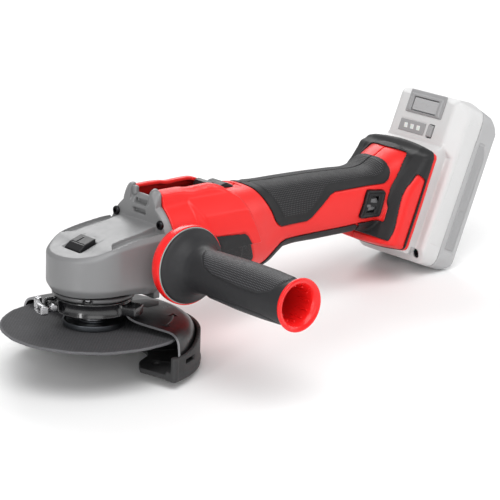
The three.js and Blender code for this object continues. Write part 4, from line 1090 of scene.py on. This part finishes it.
def barrel_field(g):
    """The motor barrel: round by the gear head, then a bulkier faceted section behind a slanting step."""
    side = np.abs(g.y)
    top = along(g.x, RIDGE_TOP)
    tube = hull_of(np.hypot(g.y, g.z - AXIS_Z) - HOUSING_RADIUS, g.x - 100, blend=0.5)
    crown = (g.z - top + np.maximum(side - 12.8, 0) * 0.4) * 0.93
    ridge = hull_of(side - 18.3 - 0.26 * np.maximum(86 - g.z, 0), crown, 60 - g.z, g.x - 100, blend=0.9)
    step = (58.8 + (87.3 - g.z) * 0.6 - g.x) * 0.86
    rear = np.maximum(g.x - 93 - 1.3 * (86.6 - g.z), g.x - 105 - 0.4 * (77.5 - g.z)) * 0.62
    bulk = hull_of(side - 34.1, facet(side, g.z, 13, 87.5, 23, 78.4),
                   facet(side, g.z, 23, 78.4, 30.8, 70.6),
                   facet(side, g.z, 30.8, 70.6, 34.2, 55), (g.z - top) * 0.97, 46 - g.z, step, rear,
                   blend=0.8)
    return union_of(tube, ridge, bulk, blend=0.7)


def housing_outline(g):
    grip = superellipse(g, GRIP_HALF, GRIP_LOW, GRIP_HIGH, GRIP_POWER)
    grip = np.where(g.x < 62, grip + 0.5 + 0.05 * (62 - g.x), grip)
    n, _ = rail_coordinates(g)
    grip = hull_of(grip, n - 212, blend=1.0)
    return union_of(union_of(grip, barrel_field(g), blend=1.6), foot_field(g), blend=3.2)


def top_channel(g):
    """The trough between the ridges and the flat track in which the slide switch runs."""
    side = np.abs(g.y)
    floor = along(g.x, [(42, 84.2), (60, 84.0), (74, 82.4), (79, 79.8), (130, 79.8)])
    trough = hull_of(side - 9.6, (floor - g.z) * 0.95, g.x - 90, blend=0.9)
    track = hull_of(side - 8.9, slab(g.x, 79, 119), 79.6 - g.z, blend=0.4)
    flare = hull_of(side - 13.5, slab(g.x, 88, 109), 84.6 + np.abs(g.x - 98) * 0.28 - g.z, blend=1.5)
    return np.minimum(np.minimum(trough, track), flare)


LABEL_OUTLINE = [(62, 30), (62, 57.6), (76.2, 56.8), (102.2, 55.2), (105.2, 53), (109.9, 45.2),
                 (114.9, 34.8),
                 (114.2, 31.4), (110, 30)]
RUBBER_OUTLINE = [(119.5, 104), (121.3, 82.5), (125.6, 78.5), (129.6, 71.2), (134.6, 62.4), (138, 55.6),
                  (141.5, 52),
                  (145, 50.3), (168.5, 50.4), (173, 52.4), (190.5, 66), (195, 67.7), (234.8, 67.6),
                  (240.6, 68),
                  (244.9, 71), (247.6, 75.8), (249, 84), (256, 104)]
STRIP_OUTLINE = [(116, 8), (122, 24.5), (130.4, 27), (138.3, 33.3), (145.4, 38.6), (150.8, 40.1),
                 (188, 40.9),
                 (216.5, 41.2), (219.4, 39.6), (219.4, 8)]
BEZEL_OUTLINE = [(225.6, 65.1), (239.4, 63.7), (240.6, 61.4), (236.6, 45.4), (235.4, 44.4), (219.2, 45.2),
                 (217.8, 47.0), (224.0, 63.6)]
WINDOWS = [[(228, 60.6), (235, 59.6), (233.9, 55.2), (227, 56.4)],
           [(225.8, 53), (232.6, 52.2), (230.9, 48.4), (223.6, 49.2)]]


def foot_rubber_region(g):
    """Where black rubber covers the foot: its top band, chamfers and lower front, round a red centre."""
    n, a = rail_coordinates(g)
    side = np.abs(g.y)
    centre = hull_of(side - along(a, [(125, 24.4), (150, 23.6), (168, 22.2), (181, 18.8)]),
                     slab(a, 129.5, 180.9),
                     n - 214.6, blend=2.5)
    accent_front = along(a, [(110, 205.4), (116, 207.2), (122, 208), (157, 208.2), (167, 212.6),
                             (190, 216)])
    accent = hull_of(accent_front - n, n - 220.4, a - 167.4 + (n - 215) * 0.3, 30 - side, blend=1.6)
    neck = hull_of(41.6 - g.z, g.x - 241, side - 26, blend=0.8)
    return hull_of(n - 222.4, -centre, -accent, 115.8 - a, 213 - g.x, -neck, blend=0.8)


def build_housing():
    for name, half, side in (("motor_housing_right", "right", -1), ("motor_housing_left", "left", 1)):
        low_y, high_y = (-38.7, 0.9) if side < 0 else (-0.9, 38.7)
        g = Grid((41.6, low_y, 14.6), (283.5, high_y, 99.5), HOUSING_STEP)
        outline = even_distance(housing_outline(g), HOUSING_STEP)
        body = np.maximum(outline, -(outline + SHELL))
        n, a = rail_coordinates(g)
        rubber = hull_of(polygon(g.x, g.z, RUBBER_OUTLINE), -(outline + 0.9), n - 200.8, blend=0.2)
        strip = hull_of(polygon(g.x, g.z, STRIP_OUTLINE), -(outline + 0.9), blend=0.2)
        label = hull_of(polygon(g.x, g.z, LABEL_OUTLINE), -(outline + 0.8), 20 - np.abs(g.y), blend=0.2)
        bumper = hull_of(foot_rubber_region(g), -(outline + 0.7), blend=0.2)
        vents = [hull_of(slab(g.x, x, x + 2.2), slab(g.z, 26, 38), 20 - np.abs(g.y), blend=0.4)
                 for x in (52, 57, 62, 67)]
        boss = np.hypot(g.x - HANDLE_X, g.z - HANDLE_Z) - 14
        tools = [top_channel(g), hull_of(slab(g.x, 97, 115), np.abs(g.y) - 3.2, 60 - g.z, blend=0.3),
                 rubber, strip,
                 label, bumper, *vents, boss]
        if side < 0:
            tools += [hull_of(polygon(g.x, g.z, BEZEL_OUTLINE), g.y + 15, blend=0.2)]
        port = hull_of(slab(n, 218, 231), slab(a, 120, 176), np.abs(g.y) - 17, blend=0.3)
        body = carve(body, *tools, port, blend=0.5)
        body = hull_of(body, 42.3 - g.x, 0.15 - g.y * side, blend=0.5)
        shell = piece(f"housing_shell_{half}", g.mesh(body), RED, "machine", [name])
        thin_out(shell, 0.42, 34)


def skin_piece(name, low, high, region_of, proud, sunk, material, nodes=(), step=0.6, blend=0.6, slot=None):
    """A moulded skin on the housing: region_of(grid) picks where it lies."""
    g = Grid(low, high, step)
    outline = even_distance(housing_outline(g), step)
    field = hull_of(region_of(g), outline - proud, -(outline + sunk), blend=blend)
    skin = piece(name, g.mesh(field), material, "machine", nodes, slot=slot)
    thin_out(skin, 0.5, 38)


def rubber_border(points):
    """How far a point lies inside the grip rubber's dotted field, in mm, seen from the side."""
    return -polygon(points[:, 0], points[:, 2], DOT_OUTLINE)


DOT_OUTLINE = [(128, 108), (129.5, 84), (136.5, 74), (142, 64.5), (146.5, 56.8), (166, 56.4), (171, 59),
               (186.8, 72.2),
               (191, 73.4), (236, 73), (242, 75.5), (246, 80), (250, 108)]


def grip_surface(points):
    """Coordinates that follow the grip: distance along it, distance round it, and where the dots are."""
    round_angle = np.arctan2(points[:, 1], points[:, 2] - 58)
    across = round_angle * 23.5
    dots = np.clip(rubber_border(points) / 1.2, 0, 1)
    return np.stack([points[:, 0], across, dots], 1)


def build_rubber():
    step = 0.62
    g = Grid((116, -29, 48.5), (256, 29, 94), step)
    outline = even_distance(housing_outline(g), step)
    n, _ = rail_coordinates(g)
    region = hull_of(polygon(g.x, g.z, RUBBER_OUTLINE) + 0.25, n - 200.4, blend=0.8)
    dotted = np.clip((DOT_SWELL_EDGE - polygon(g.x, g.z, DOT_OUTLINE)) / 1.6, 0, 1)
    lobe = 0.9 * np.clip((n - 190) / 10, 0, 1)
    field = hull_of(region, outline - 0.55 * dotted - lobe - 0.55, -(outline + 0.6), blend=0.5)
    seam = hull_of(np.abs(g.y) - 0.28, -(outline + 0.15), blend=0.2)
    field = carve(field, seam, blend=0.4)
    cover = piece("grip_rubber_cover", g.mesh(field), GRIP_DOTS, "machine", ["grip_cover"])
    pattern_coordinates(cover, grip_surface)
    skin_piece("belly_rubber_strip", (114, -34, 14), (221, 34, 43),
               lambda g: hull_of(polygon(g.x, g.z, STRIP_OUTLINE) + 0.25, blend=0.5),
               0.7, 0.6, RUBBER, ["belly_strip"])
    skin_piece("foot_rubber_bumper", (212, -39.6, 18), (284, 39.6, 100),
               lambda g: hull_of(foot_rubber_region(g) + 0.2,
                                    -(polygon(g.x, g.z, STRIP_OUTLINE) - 0.6), blend=0.5),
               1.0, 0.4, RUBBER, ["foot_bumper"], step=0.66)
    for half, side in (("right", -1), ("left", 1)):
        skin_piece(f"side_label_{half}", (60, min(side * 37, side * 16), 27),
                   (117, max(side * 37, side * 16), 60),
                   lambda g: hull_of(polygon(g.x, g.z, LABEL_OUTLINE) + 0.3, 20 - g.y * side, blend=0.4),
                   0.05, 0.5, HARD_BLACK, [f"side_panel_{half}"], step=0.5)
    skin_piece("foot_gasket_line", (238, -39, 16), (284, 39, 96),
               lambda g: hull_of(slab(rail_coordinates(g)[0], 220.7, 222.7), blend=0.3),
               0.35, 0.5, HARD_BLACK, step=0.5, blend=0.25, slot="hard_black")


DOT_SWELL_EDGE = 0.6


def build_dial():
    g = Grid((216.5, -27.2, 43), (242, -17, 67), 0.36)
    outline = superellipse(g, GRIP_HALF, GRIP_LOW, GRIP_HIGH, GRIP_POWER)
    plan = polygon(g.x, g.z, BEZEL_OUTLINE) + 0.25
    frame_plate = hull_of(plan, outline - 1.5, -(outline + 2.2), blend=0.6)
    rim = hull_of(plan, -(plan + 1.8), outline - 2.2, -(outline + 1), blend=0.8)
    body = union_of(frame_plate, rim, blend=0.5)
    well = np.hypot(g.y - DIAL_CENTRE[1], g.z - DIAL_CENTRE[2]) - DIAL_RADIUS - 0.3
    body = carve(body, *[polygon(g.x, g.z, window) + 0 * g.y for window in WINDOWS], blend=0.5)
    body = carve(body, hull_of(well, np.abs(g.x - DIAL_CENTRE[0]) - 6.2))
    piece("dial_window_frame", g.mesh(body), HARD_BLACK, "machine", ["dial_bezel"])
    brow = DIAL_RADIUS - 0.7
    profile = softened([(1.6, 0), (1.6, -5.6), (brow, -5.6), (DIAL_RADIUS, -4.8), (DIAL_RADIUS, 4.8),
                        (brow, 5.6),
                        (1.6, 5.6), (1.6, 0)], 0.3)
    points, faces = turned(profile, "x", DIAL_CENTRE, 120)
    points = np.array(points)
    y, z = points[:, 1] - DIAL_CENTRE[1], points[:, 2] - DIAL_CENTRE[2]
    radius, angle = np.hypot(y, z), np.arctan2(z, y)
    facets = 1 + 0.035 * (np.cos(10 * angle) - 1) * (radius > DIAL_RADIUS - 0.5)
    points[:, 1], points[:, 2] = DIAL_CENTRE[1] + y * facets, DIAL_CENTRE[2] + z * facets
    piece("speed_thumbwheel", (points, faces), DIAL_GREY, "speed_dial", ["speed_dial"], smooth_angle=30)


DIAL_CENTRE = (229.4, -16.0, 54.0)
DIAL_RADIUS = 6.6
DIAL_GREY = moulded("thumbwheel_grey", (0.16, 0.16, 0.165), 0.4, 0.4, 0.015, 0.08)


def build_switch():
    g = Grid((87, -9.2, 74.5), (119.5, 9.2, 89.5), 0.4)
    outline = [(89.4, 79.9), (111.6, 79.9), (111.8, 81.6), (106.4, 84.2), (103.6, 84.1), (100.2, 82.6),
               (93.8, 86.3),
               (90.6, 85.7), (88.9, 82.6)]
    body = hull_of(polygon(g.x, g.z, outline), np.abs(g.y) - 8.4, blend=1.1)
    ribs = [hull_of(slab(g.x, x, x + 0.7), np.abs(g.y) - 6.4, np.abs(g.z - z) - 1.0, blend=0.3)
            for x, z in ((94.6, 86.5), (96.4, 85.5), (98.2, 84.4), (107.4, 84.2), (109.0, 83.4))]
    body = carve(body, *ribs, blend=0.3)
    piece("slide_switch_button", g.mesh(body), HARD_BLACK, "slide_switch", ["slide_switch"])


def build_belly_plate():
    g = Grid((42, -24, 13.6), (66, 24, 26), 0.55)
    barrel = np.hypot(g.y, g.z - AXIS_Z) - HOUSING_RADIUS
    side = np.abs(g.y)
    plate = hull_of(barrel - 1.4, -(barrel - 0.2), slab(g.x, 43.4, 62), side - 21 + (g.x - 43) * 0.25,
                    blend=0.7)
    grooves = [hull_of(np.abs(g.x - x) - 0.7, -(barrel - 0.8), side - 14, blend=0.3) for x in (48, 52, 56)]
    piece("belly_guard_plate", g.mesh(carve(plate, *grooves, blend=0.3)), HARD_BLACK, "machine",
          slot="hard_black")


# ---------------------------------------------------------------- battery, in the rail frame

PACK_SPLIT = 258.0
PACK_OUTLINE = [(241, 118), (247, 108), (270.5, 108), (275.5, 113), (275.5, 215), (268.5, 226),
                (251.5, 231),
                (237, 229.5), (234, 225), (234, 193), (241, 187)]
FACE = 234.0
PACK_HALF_WIDTH = 37


def pack_outline(g):
    side = np.abs(g.y)
    flank = hull_of(side - PACK_HALF_WIDTH, (FACE - g.x + (side - 28)) * 0.7071, blend=1.5)
    shape = hull_of(polygon(g.x, g.z, PACK_OUTLINE), flank, blend=1.8)
    corner_low = side + (112 - g.z) - PACK_HALF_WIDTH
    corner_high = side + (g.z - 224) - PACK_HALF_WIDTH
    shape = hull_of(shape, corner_low * 0.7071, corner_high * 0.7071, blend=5)
    waist = 0.9 * np.clip(1 - np.abs(g.x - 262) / 8.5, 0, 1)
    waist = waist * np.clip((g.z - 118) / 8, 0, 1) * np.clip((206 - g.z) / 8, 0, 1)
    return shape + np.where(side > 33, waist, 0)


def rail_channel_walls(g):
    side = np.abs(g.y)
    walls = hull_of(side - 29, slab(g.x, 226.4, 242), slab(g.z, 112, 195), blend=1.2)
    bevel = (226.4 - g.x + (side - 24.5) * 0.8) * 0.78
    walls = hull_of(walls, bevel, blend=1.2)
    track = hull_of(side - 23.6, slab(g.x, 229.8, 240.9), g.z - 186.5, blend=0.4)
    mouth = hull_of(side - 19, g.x - 240.9, g.z - 186.5, blend=0.4)
    flare = hull_of((181.5 + (g.x - 220) * 0.82 - g.z) * 0.77, g.x - FACE + 0.1, blend=0.3)
    return carve(walls, track, mouth, flare, blend=0.5)


def pack_field(g):
    side = np.abs(g.y)
    shell = union_of(pack_outline(g), rail_channel_walls(g), blend=1.0)
    frame_recess = hull_of(side - 18.8, slab(g.z, 211.6, 229.2), g.x - FACE - 0.5, blend=0.4)
    lamp_recess = hull_of(slab(g.y, -6.4, 20.4), slab(g.z, 197, 206.5), g.x - FACE - 0.5, blend=0.4)
    button_well = hull_of(slab(g.y, -15.0, -9.0), slab(g.z, 197, 206.8), g.x - FACE - 5, blend=0.3)
    latch_well = hull_of(side - 12.9, slab(g.z, 213.5, 224.1), g.x - FACE - 8, blend=0.3)
    side_outline = [(262, 122), (272.5, 122), (272.5, 196), (268, 205), (262, 205)]
    side_recess = hull_of(polygon(g.x, g.z, side_outline), 36.1 - side, blend=0.4)
    front_flank = [(244.5, 124), (256.2, 124), (256.2, 216), (249, 220), (241.5, 206), (241.5, 196),
                   (246, 190)]
    flank_groove = hull_of(np.abs(polygon(g.x, g.z, front_flank)) - 0.35, 36.5 - side, blend=0.3)
    screw_well = rod(side - 28, g.z - 114.5, 3.1, g.x, 236, 246.5, 0.4)
    hollow = hull_of(pack_outline(g) + 2.0, slab(g.x, 243.2, 274), side - 35.2, blend=0.5)
    upper_hollow = hull_of(slab(g.x, 236.2, 245), side - 26, slab(g.z, 196, 223), blend=0.5)
    vents = [hull_of(slab(side, y, y + 1.6), slab(g.x, 262, 271), g.z - 110.5, blend=0.3) for y in (8, 12,
                                                                                                    16)]
    return carve(shell, frame_recess, lamp_recess, button_well, latch_well, side_recess, flank_groove,
                 hollow,
                 upper_hollow, screw_well, *vents, blend=0.4)


def build_battery():
    for name, node, material, low_x, high_x in (
            ("battery_front_case", "battery_front_shell", PACK_PALE, 225.4, PACK_SPLIT + 0.6),
            ("battery_rear_case", "battery_rear_shell", PACK_MID, PACK_SPLIT - 0.6, 276.6)):
        g = Grid((low_x, -38.4, 107), (high_x, 38.4, 232.2), 0.72)
        cut = g.x - (PACK_SPLIT - 0.15) if node.startswith("battery_front") else PACK_SPLIT + 0.15 - g.x
        case = piece(name, g.mesh(hull_of(pack_field(g), cut, blend=0.5)), material, "battery", [node],
                     place=RAIL)
        thin_out(case, 0.42, 34)
    build_pack_front()
    build_pack_sides()


def front_plate(name, low, high, field_of, material, body="battery", nodes=(), step=0.36, slot="pack_grey"):
    g = Grid(low, high, step)
    piece(name, g.mesh(field_of(g)), material, body, nodes, place=RAIL, slot=slot)


def build_pack_front():
    def latch_frame(g):
        side = np.abs(g.y)
        plate = hull_of(side - 18.6, slab(g.z, 211.8, 229.0), slab(g.x, FACE - 0.7, FACE + 0.4), blend=0.6)
        raised = hull_of(side - 16.2, slab(g.z, 212.6, 226), slab(g.x, FACE - 1.5, FACE + 0.3), blend=0.7)
        hole = hull_of(side - 12.9, slab(g.z, 213.5, 224.1), blend=0.3)
        bars = hull_of(np.abs(side - 15.1) - 0.35, slab(g.z, 215, 223), FACE - 1.9 - g.x, g.x - FACE,
                       blend=0.3)
        return union_of(carve(union_of(plate, raised, blend=0.4), hole, blend=0.4), bars, blend=0.3)

    front_plate("latch_surround", (231.6, -19.4, 211), (235, 19.4, 229.8), latch_frame, PACK_DARK)

    def latch(g):
        pad = hull_of(np.abs(g.y) - 12.4, slab(g.z, 214, 223.6), slab(g.x, 233.1, 238), blend=0.7)
        weave = 0.28 * np.cos((g.y + g.z) * 2 * math.pi / 1.9) * np.cos((g.y - g.z) * 2 * math.pi / 1.9)
        mask = hull_of(np.abs(g.y) - 11.4, slab(g.z, 215, 222.6), blend=0.5) < 0
        return pad + np.where(mask, weave, 0)

    front_plate("battery_latch_pad", (232.2, -13.2, 213), (238.6, 13.2, 224.6), latch, PACK_MID,
                "battery_latch",
                ["battery_latch"], step=0.3)

    def lamp_panel(g):
        panel = hull_of(slab(g.y, -6.2, 20.2), slab(g.z, 197.2, 206.3), blend=0.5)
        return hull_of(panel, slab(g.x, FACE - 0.25, FACE + 0.45), blend=0.5)

    front_plate("charge_lamp_panel", (233, -7, 196.4), (235, 21, 207.2), lamp_panel, PACK_DARK)
    for i in range(3):
        def lamp(g, y=13.2 - 6.4 * i):
            slanted = g.y - y - (g.z - 201.7) * 0.18
            return hull_of(np.abs(slanted) - 1.7, slab(g.z, 199.8, 203.6),
                           slab(g.x, FACE - 0.6, FACE + 0.2), blend=0.4)
        front_plate(f"charge_lamp_{i + 1}", (233, 8 - 6.4 * i, 199), (234.6, 18 - 6.4 * i, 204.4), lamp,
                    PACK_LENS,
                    step=0.25, slot="pack_light")

    def charge_button(g):
        pad = hull_of(slab(g.y, -14.5, -9.5), slab(g.z, 197.5, 206.3), slab(g.x, 232.9, 237.6), blend=0.6)
        ribs = 0.22 * np.cos(g.y * 2 * math.pi / 1.25)
        mask = hull_of(slab(g.y, -14, -10), slab(g.z, 198.4, 205.4), blend=0.4) < 0
        return pad + np.where(mask, ribs, 0)

    front_plate("charge_test_button", (232.2, -15.2, 196.8), (238.2, -8.8, 207), charge_button, PACK_DARK,
                "charge_button", ["charge_button"], step=0.25)


def build_pack_sides():
    outline = [(262.6, 124), (271.6, 124), (271.6, 195), (267.4, 203.6), (262.6, 203.6)]
    for name, side in (("right", -1), ("left", 1)):
        def strip(g):
            plate = hull_of(polygon(g.x, g.z, outline), slab(g.y * side, 35.6, 36.5), blend=0.4)
            bars = [hull_of(slab(g.x, 265, 269), slab(g.z, low, high), 36.2 - g.y * side, blend=0.2)
                    for low, high in ((128, 146), (150, 154), (160, 190))]
            return carve(plate, *bars, blend=0.2)
        front_plate(f"pack_side_strip_{name}", (261.6, min(side * 37.2, side * 34.6), 123),
                    (272.6, max(side * 37.2, side * 34.6), 204.6), strip, PACK_DARK, step=0.45)
    for i, y in enumerate((-28, 28)):
        torx_screw(f"pack_front_screw_{i + 1}", (246.2, y, 114.5), "-x", 2.7, 1.4, "battery", place=RAIL,
                   slot="dark_steel")
    for i, (y, z) in enumerate(((-30, 118), (30, 118), (-30, 209), (30, 209))):
        torx_screw(f"pack_rear_screw_{i + 1}", (274.3, y, z), "+x", 2.7, 1.3, "battery", place=RAIL,
                   slot="dark_steel")


BLADE_PLACES = (-9, -3, 3, 9)


def build_terminals():
    g = Grid((219.4, -23.8, 115.2), (240.4, 23.8, 184.8), 0.55)
    plug = hull_of(slab(g.x, 220, 227), np.abs(g.y) - 16.6, slab(g.z, 120.4, 175.6), blend=0.6)
    stem = hull_of(slab(g.x, 226.4, 230.4), np.abs(g.y) - 18.4, slab(g.z, 116, 184), blend=0.6)
    wings = hull_of(slab(g.x, 230.2, 234.6), np.abs(g.y) - 23, slab(g.z, 116, 184), blend=0.8)
    windows = [hull_of(slab(g.y, y - 1.6, y + 1.6), slab(g.z, 136, 162), 231.6 - g.x, blend=0.4)
               for y in BLADE_PLACES]
    body = carve(union_of(plug, stem, wings, blend=0.6), *windows, blend=0.4)
    block = piece("terminal_rail_block", g.mesh(body), HARD_BLACK, "machine", ["terminal_block"],
                  place=RAIL)
    thin_out(block, 0.4, 34)
    for i, y in enumerate(BLADE_PLACES):
        blade = Grid((230.8, y - 1.1, 139), (240.4, y + 1.1, 159), 0.2)
        field = hull_of(slab(blade.x, 231, 239.6), np.abs(blade.y - y) - 0.45, slab(blade.z, 140, 158),
                        blend=0.35)
        contact = piece(f"terminal_blade_{i + 1}", blade.mesh(field), BRASS, "machine", place=RAIL,
                        slot="copper")
        thin_out(contact, 0.1, 30)


BUILDERS = [build_head, build_lock_button, build_bearing_cap, build_spindle_pieces, build_nut,
            build_guard_sheet,
            build_clamp, build_cover, build_handle, build_housing, build_rubber, build_dial, build_switch,
            build_belly_plate, build_battery, build_terminals]


# ---------------------------------------------------------------- camera, light and floor

def aim(obj, target):
    direction = Vector(target) - obj.location
    obj.rotation_mode = "QUATERNION"
    obj.rotation_quaternion = direction.to_track_quat("-Z", "Y")


def area_light(name, offset, size, power):
    data = bpy.data.lights.new(name, "AREA")
    data.shape = "RECTANGLE"
    data.size, data.size_y = size
    data.energy = power
    light = bpy.data.objects.new(name, data)
    bpy.context.scene.collection.objects.link(light)
    light.location = Vector(offset)
    aim(light, (0, 0, 0.06))


def build_studio():
    area_light("key_above", (-0.35, -0.55, 1.25), (1.1, 0.9), 12)
    area_light("fill_front", (-0.9, -1.3, 0.55), (1.3, 0.9), 6)
    area_light("strip_nose", (-1.25, -0.28, 0.42), (0.12, 1.1), 4.5)
    area_light("rim_back", (0.7, 1.0, 0.9), (1.0, 0.7), 10)
    area_light("side_right", (1.2, -0.6, 0.6), (0.7, 0.9), 4.5)
    world = bpy.data.worlds.new("studio")
    world.use_nodes = True
    background = world.node_tree.nodes["Background"]
    background.inputs["Color"].default_value = (1, 1, 1, 1)
    background.inputs["Strength"].default_value = 0.42
    bpy.context.scene.world = world


def build_floor():
    mesh = bpy.data.meshes.new("floor")
    reach = 6.0
    mesh.from_pydata([(-reach, -reach, 0), (reach, -reach, 0), (reach, reach, 0), (-reach, reach, 0)], [],
                     [(0, 1, 2, 3)])
    floor = bpy.data.objects.new("floor", mesh)
    bpy.context.scene.collection.objects.link(floor)
    n = Nodes("pale_floor")
    n.set("Base Color", n.blend(n.noise(400), (0.90, 0.90, 0.90), (0.92, 0.92, 0.92)))
    n.set("Roughness", 0.8)
    mesh.materials.append(n.material)


CAMERA_AZIMUTH, CAMERA_ELEVATION, CAMERA_ROLL = (math.radians(a) for a in (-40.274, 15.461, 1.708))
CAMERA_DISTANCE = 1700.0
CAMERA_LENS, CAMERA_SENSOR = 183.1, 36.0
DISC_CENTRE_IN_VIEW = (-0.31341, 0.14725)      # from the middle of the frame, as a share of its width


def build_camera():
    a, e, roll = CAMERA_AZIMUTH, CAMERA_ELEVATION, CAMERA_ROLL
    right = Vector((math.cos(a), math.sin(a), 0))
    ahead = Vector((-math.sin(a) * math.cos(e), math.cos(a) * math.cos(e), -math.sin(e)))
    up = right.cross(ahead)
    x_axis = math.cos(roll) * right + math.sin(roll) * up
    y_axis = -math.sin(roll) * right + math.cos(roll) * up
    spread = CAMERA_SENSOR / CAMERA_LENS * CAMERA_DISTANCE
    across, down = (share * spread for share in DISC_CENTRE_IN_VIEW)
    place = -(across * x_axis - down * y_axis + CAMERA_DISTANCE * ahead) * MM
    data = bpy.data.cameras.new("camera")
    data.lens, data.sensor_width = CAMERA_LENS, CAMERA_SENSOR
    data.clip_start, data.clip_end = 0.05, 30
    camera = bpy.data.objects.new("camera", data)
    bpy.context.scene.collection.objects.link(camera)
    camera.matrix_world = TOOL @ frame_matrix(x_axis, y_axis, -ahead, place)
    bpy.context.scene.camera = camera
    bpy.context.scene.view_settings.view_transform = "Standard"


# ---------------------------------------------------------------- assembly

NODE_MATERIALS = {
    "lower_spindle_bearing": SHAFT_STEEL, "upper_spindle_bearing": SHAFT_STEEL, "ring_gear": SHAFT_STEEL,
    "pinion": SHAFT_STEEL, "front_rotor_bearing": SHAFT_STEEL, "rear_rotor_bearing": SHAFT_STEEL,
    "rotor_shaft": SHAFT_STEEL, "rotor_core": LAMINATIONS, "stator_core": LAMINATIONS,
    "stator_windings": COPPER, "fan": HARD_BLACK, "motor_end_frame": SATIN_BLACK, "switch_unit": HARD_BLACK,
    "switch_link": SATIN_BLACK, "controller": BOARD, "battery_board": BOARD, "handle_stud": SHAFT_STEEL,
    "clamp_bolt": CHROME,
}


def finish_nodes():
    """Bevels and procedural finishes on the CAD nodes that stay visible."""
    materials = dict(NODE_MATERIALS)
    materials.update({f"battery_cell_{i}": CELL_WRAP for i in range(1, 6)})
    for name, node in frame["nodes"].items():
        if node.hide_render:
            continue
        node.data.materials.clear()
        node.data.materials.append(materials.get(name, SATIN_BLACK))
        bevel = node.modifiers.new("edges", "BEVEL")
        bevel.width = 0.2 * MM
        bevel.segments = 2
        bevel.limit_method = "ANGLE"
        bevel.angle_limit = math.radians(35)


for build in BUILDERS:
    build()
finish_nodes()
build_studio()
build_floor()
build_camera()
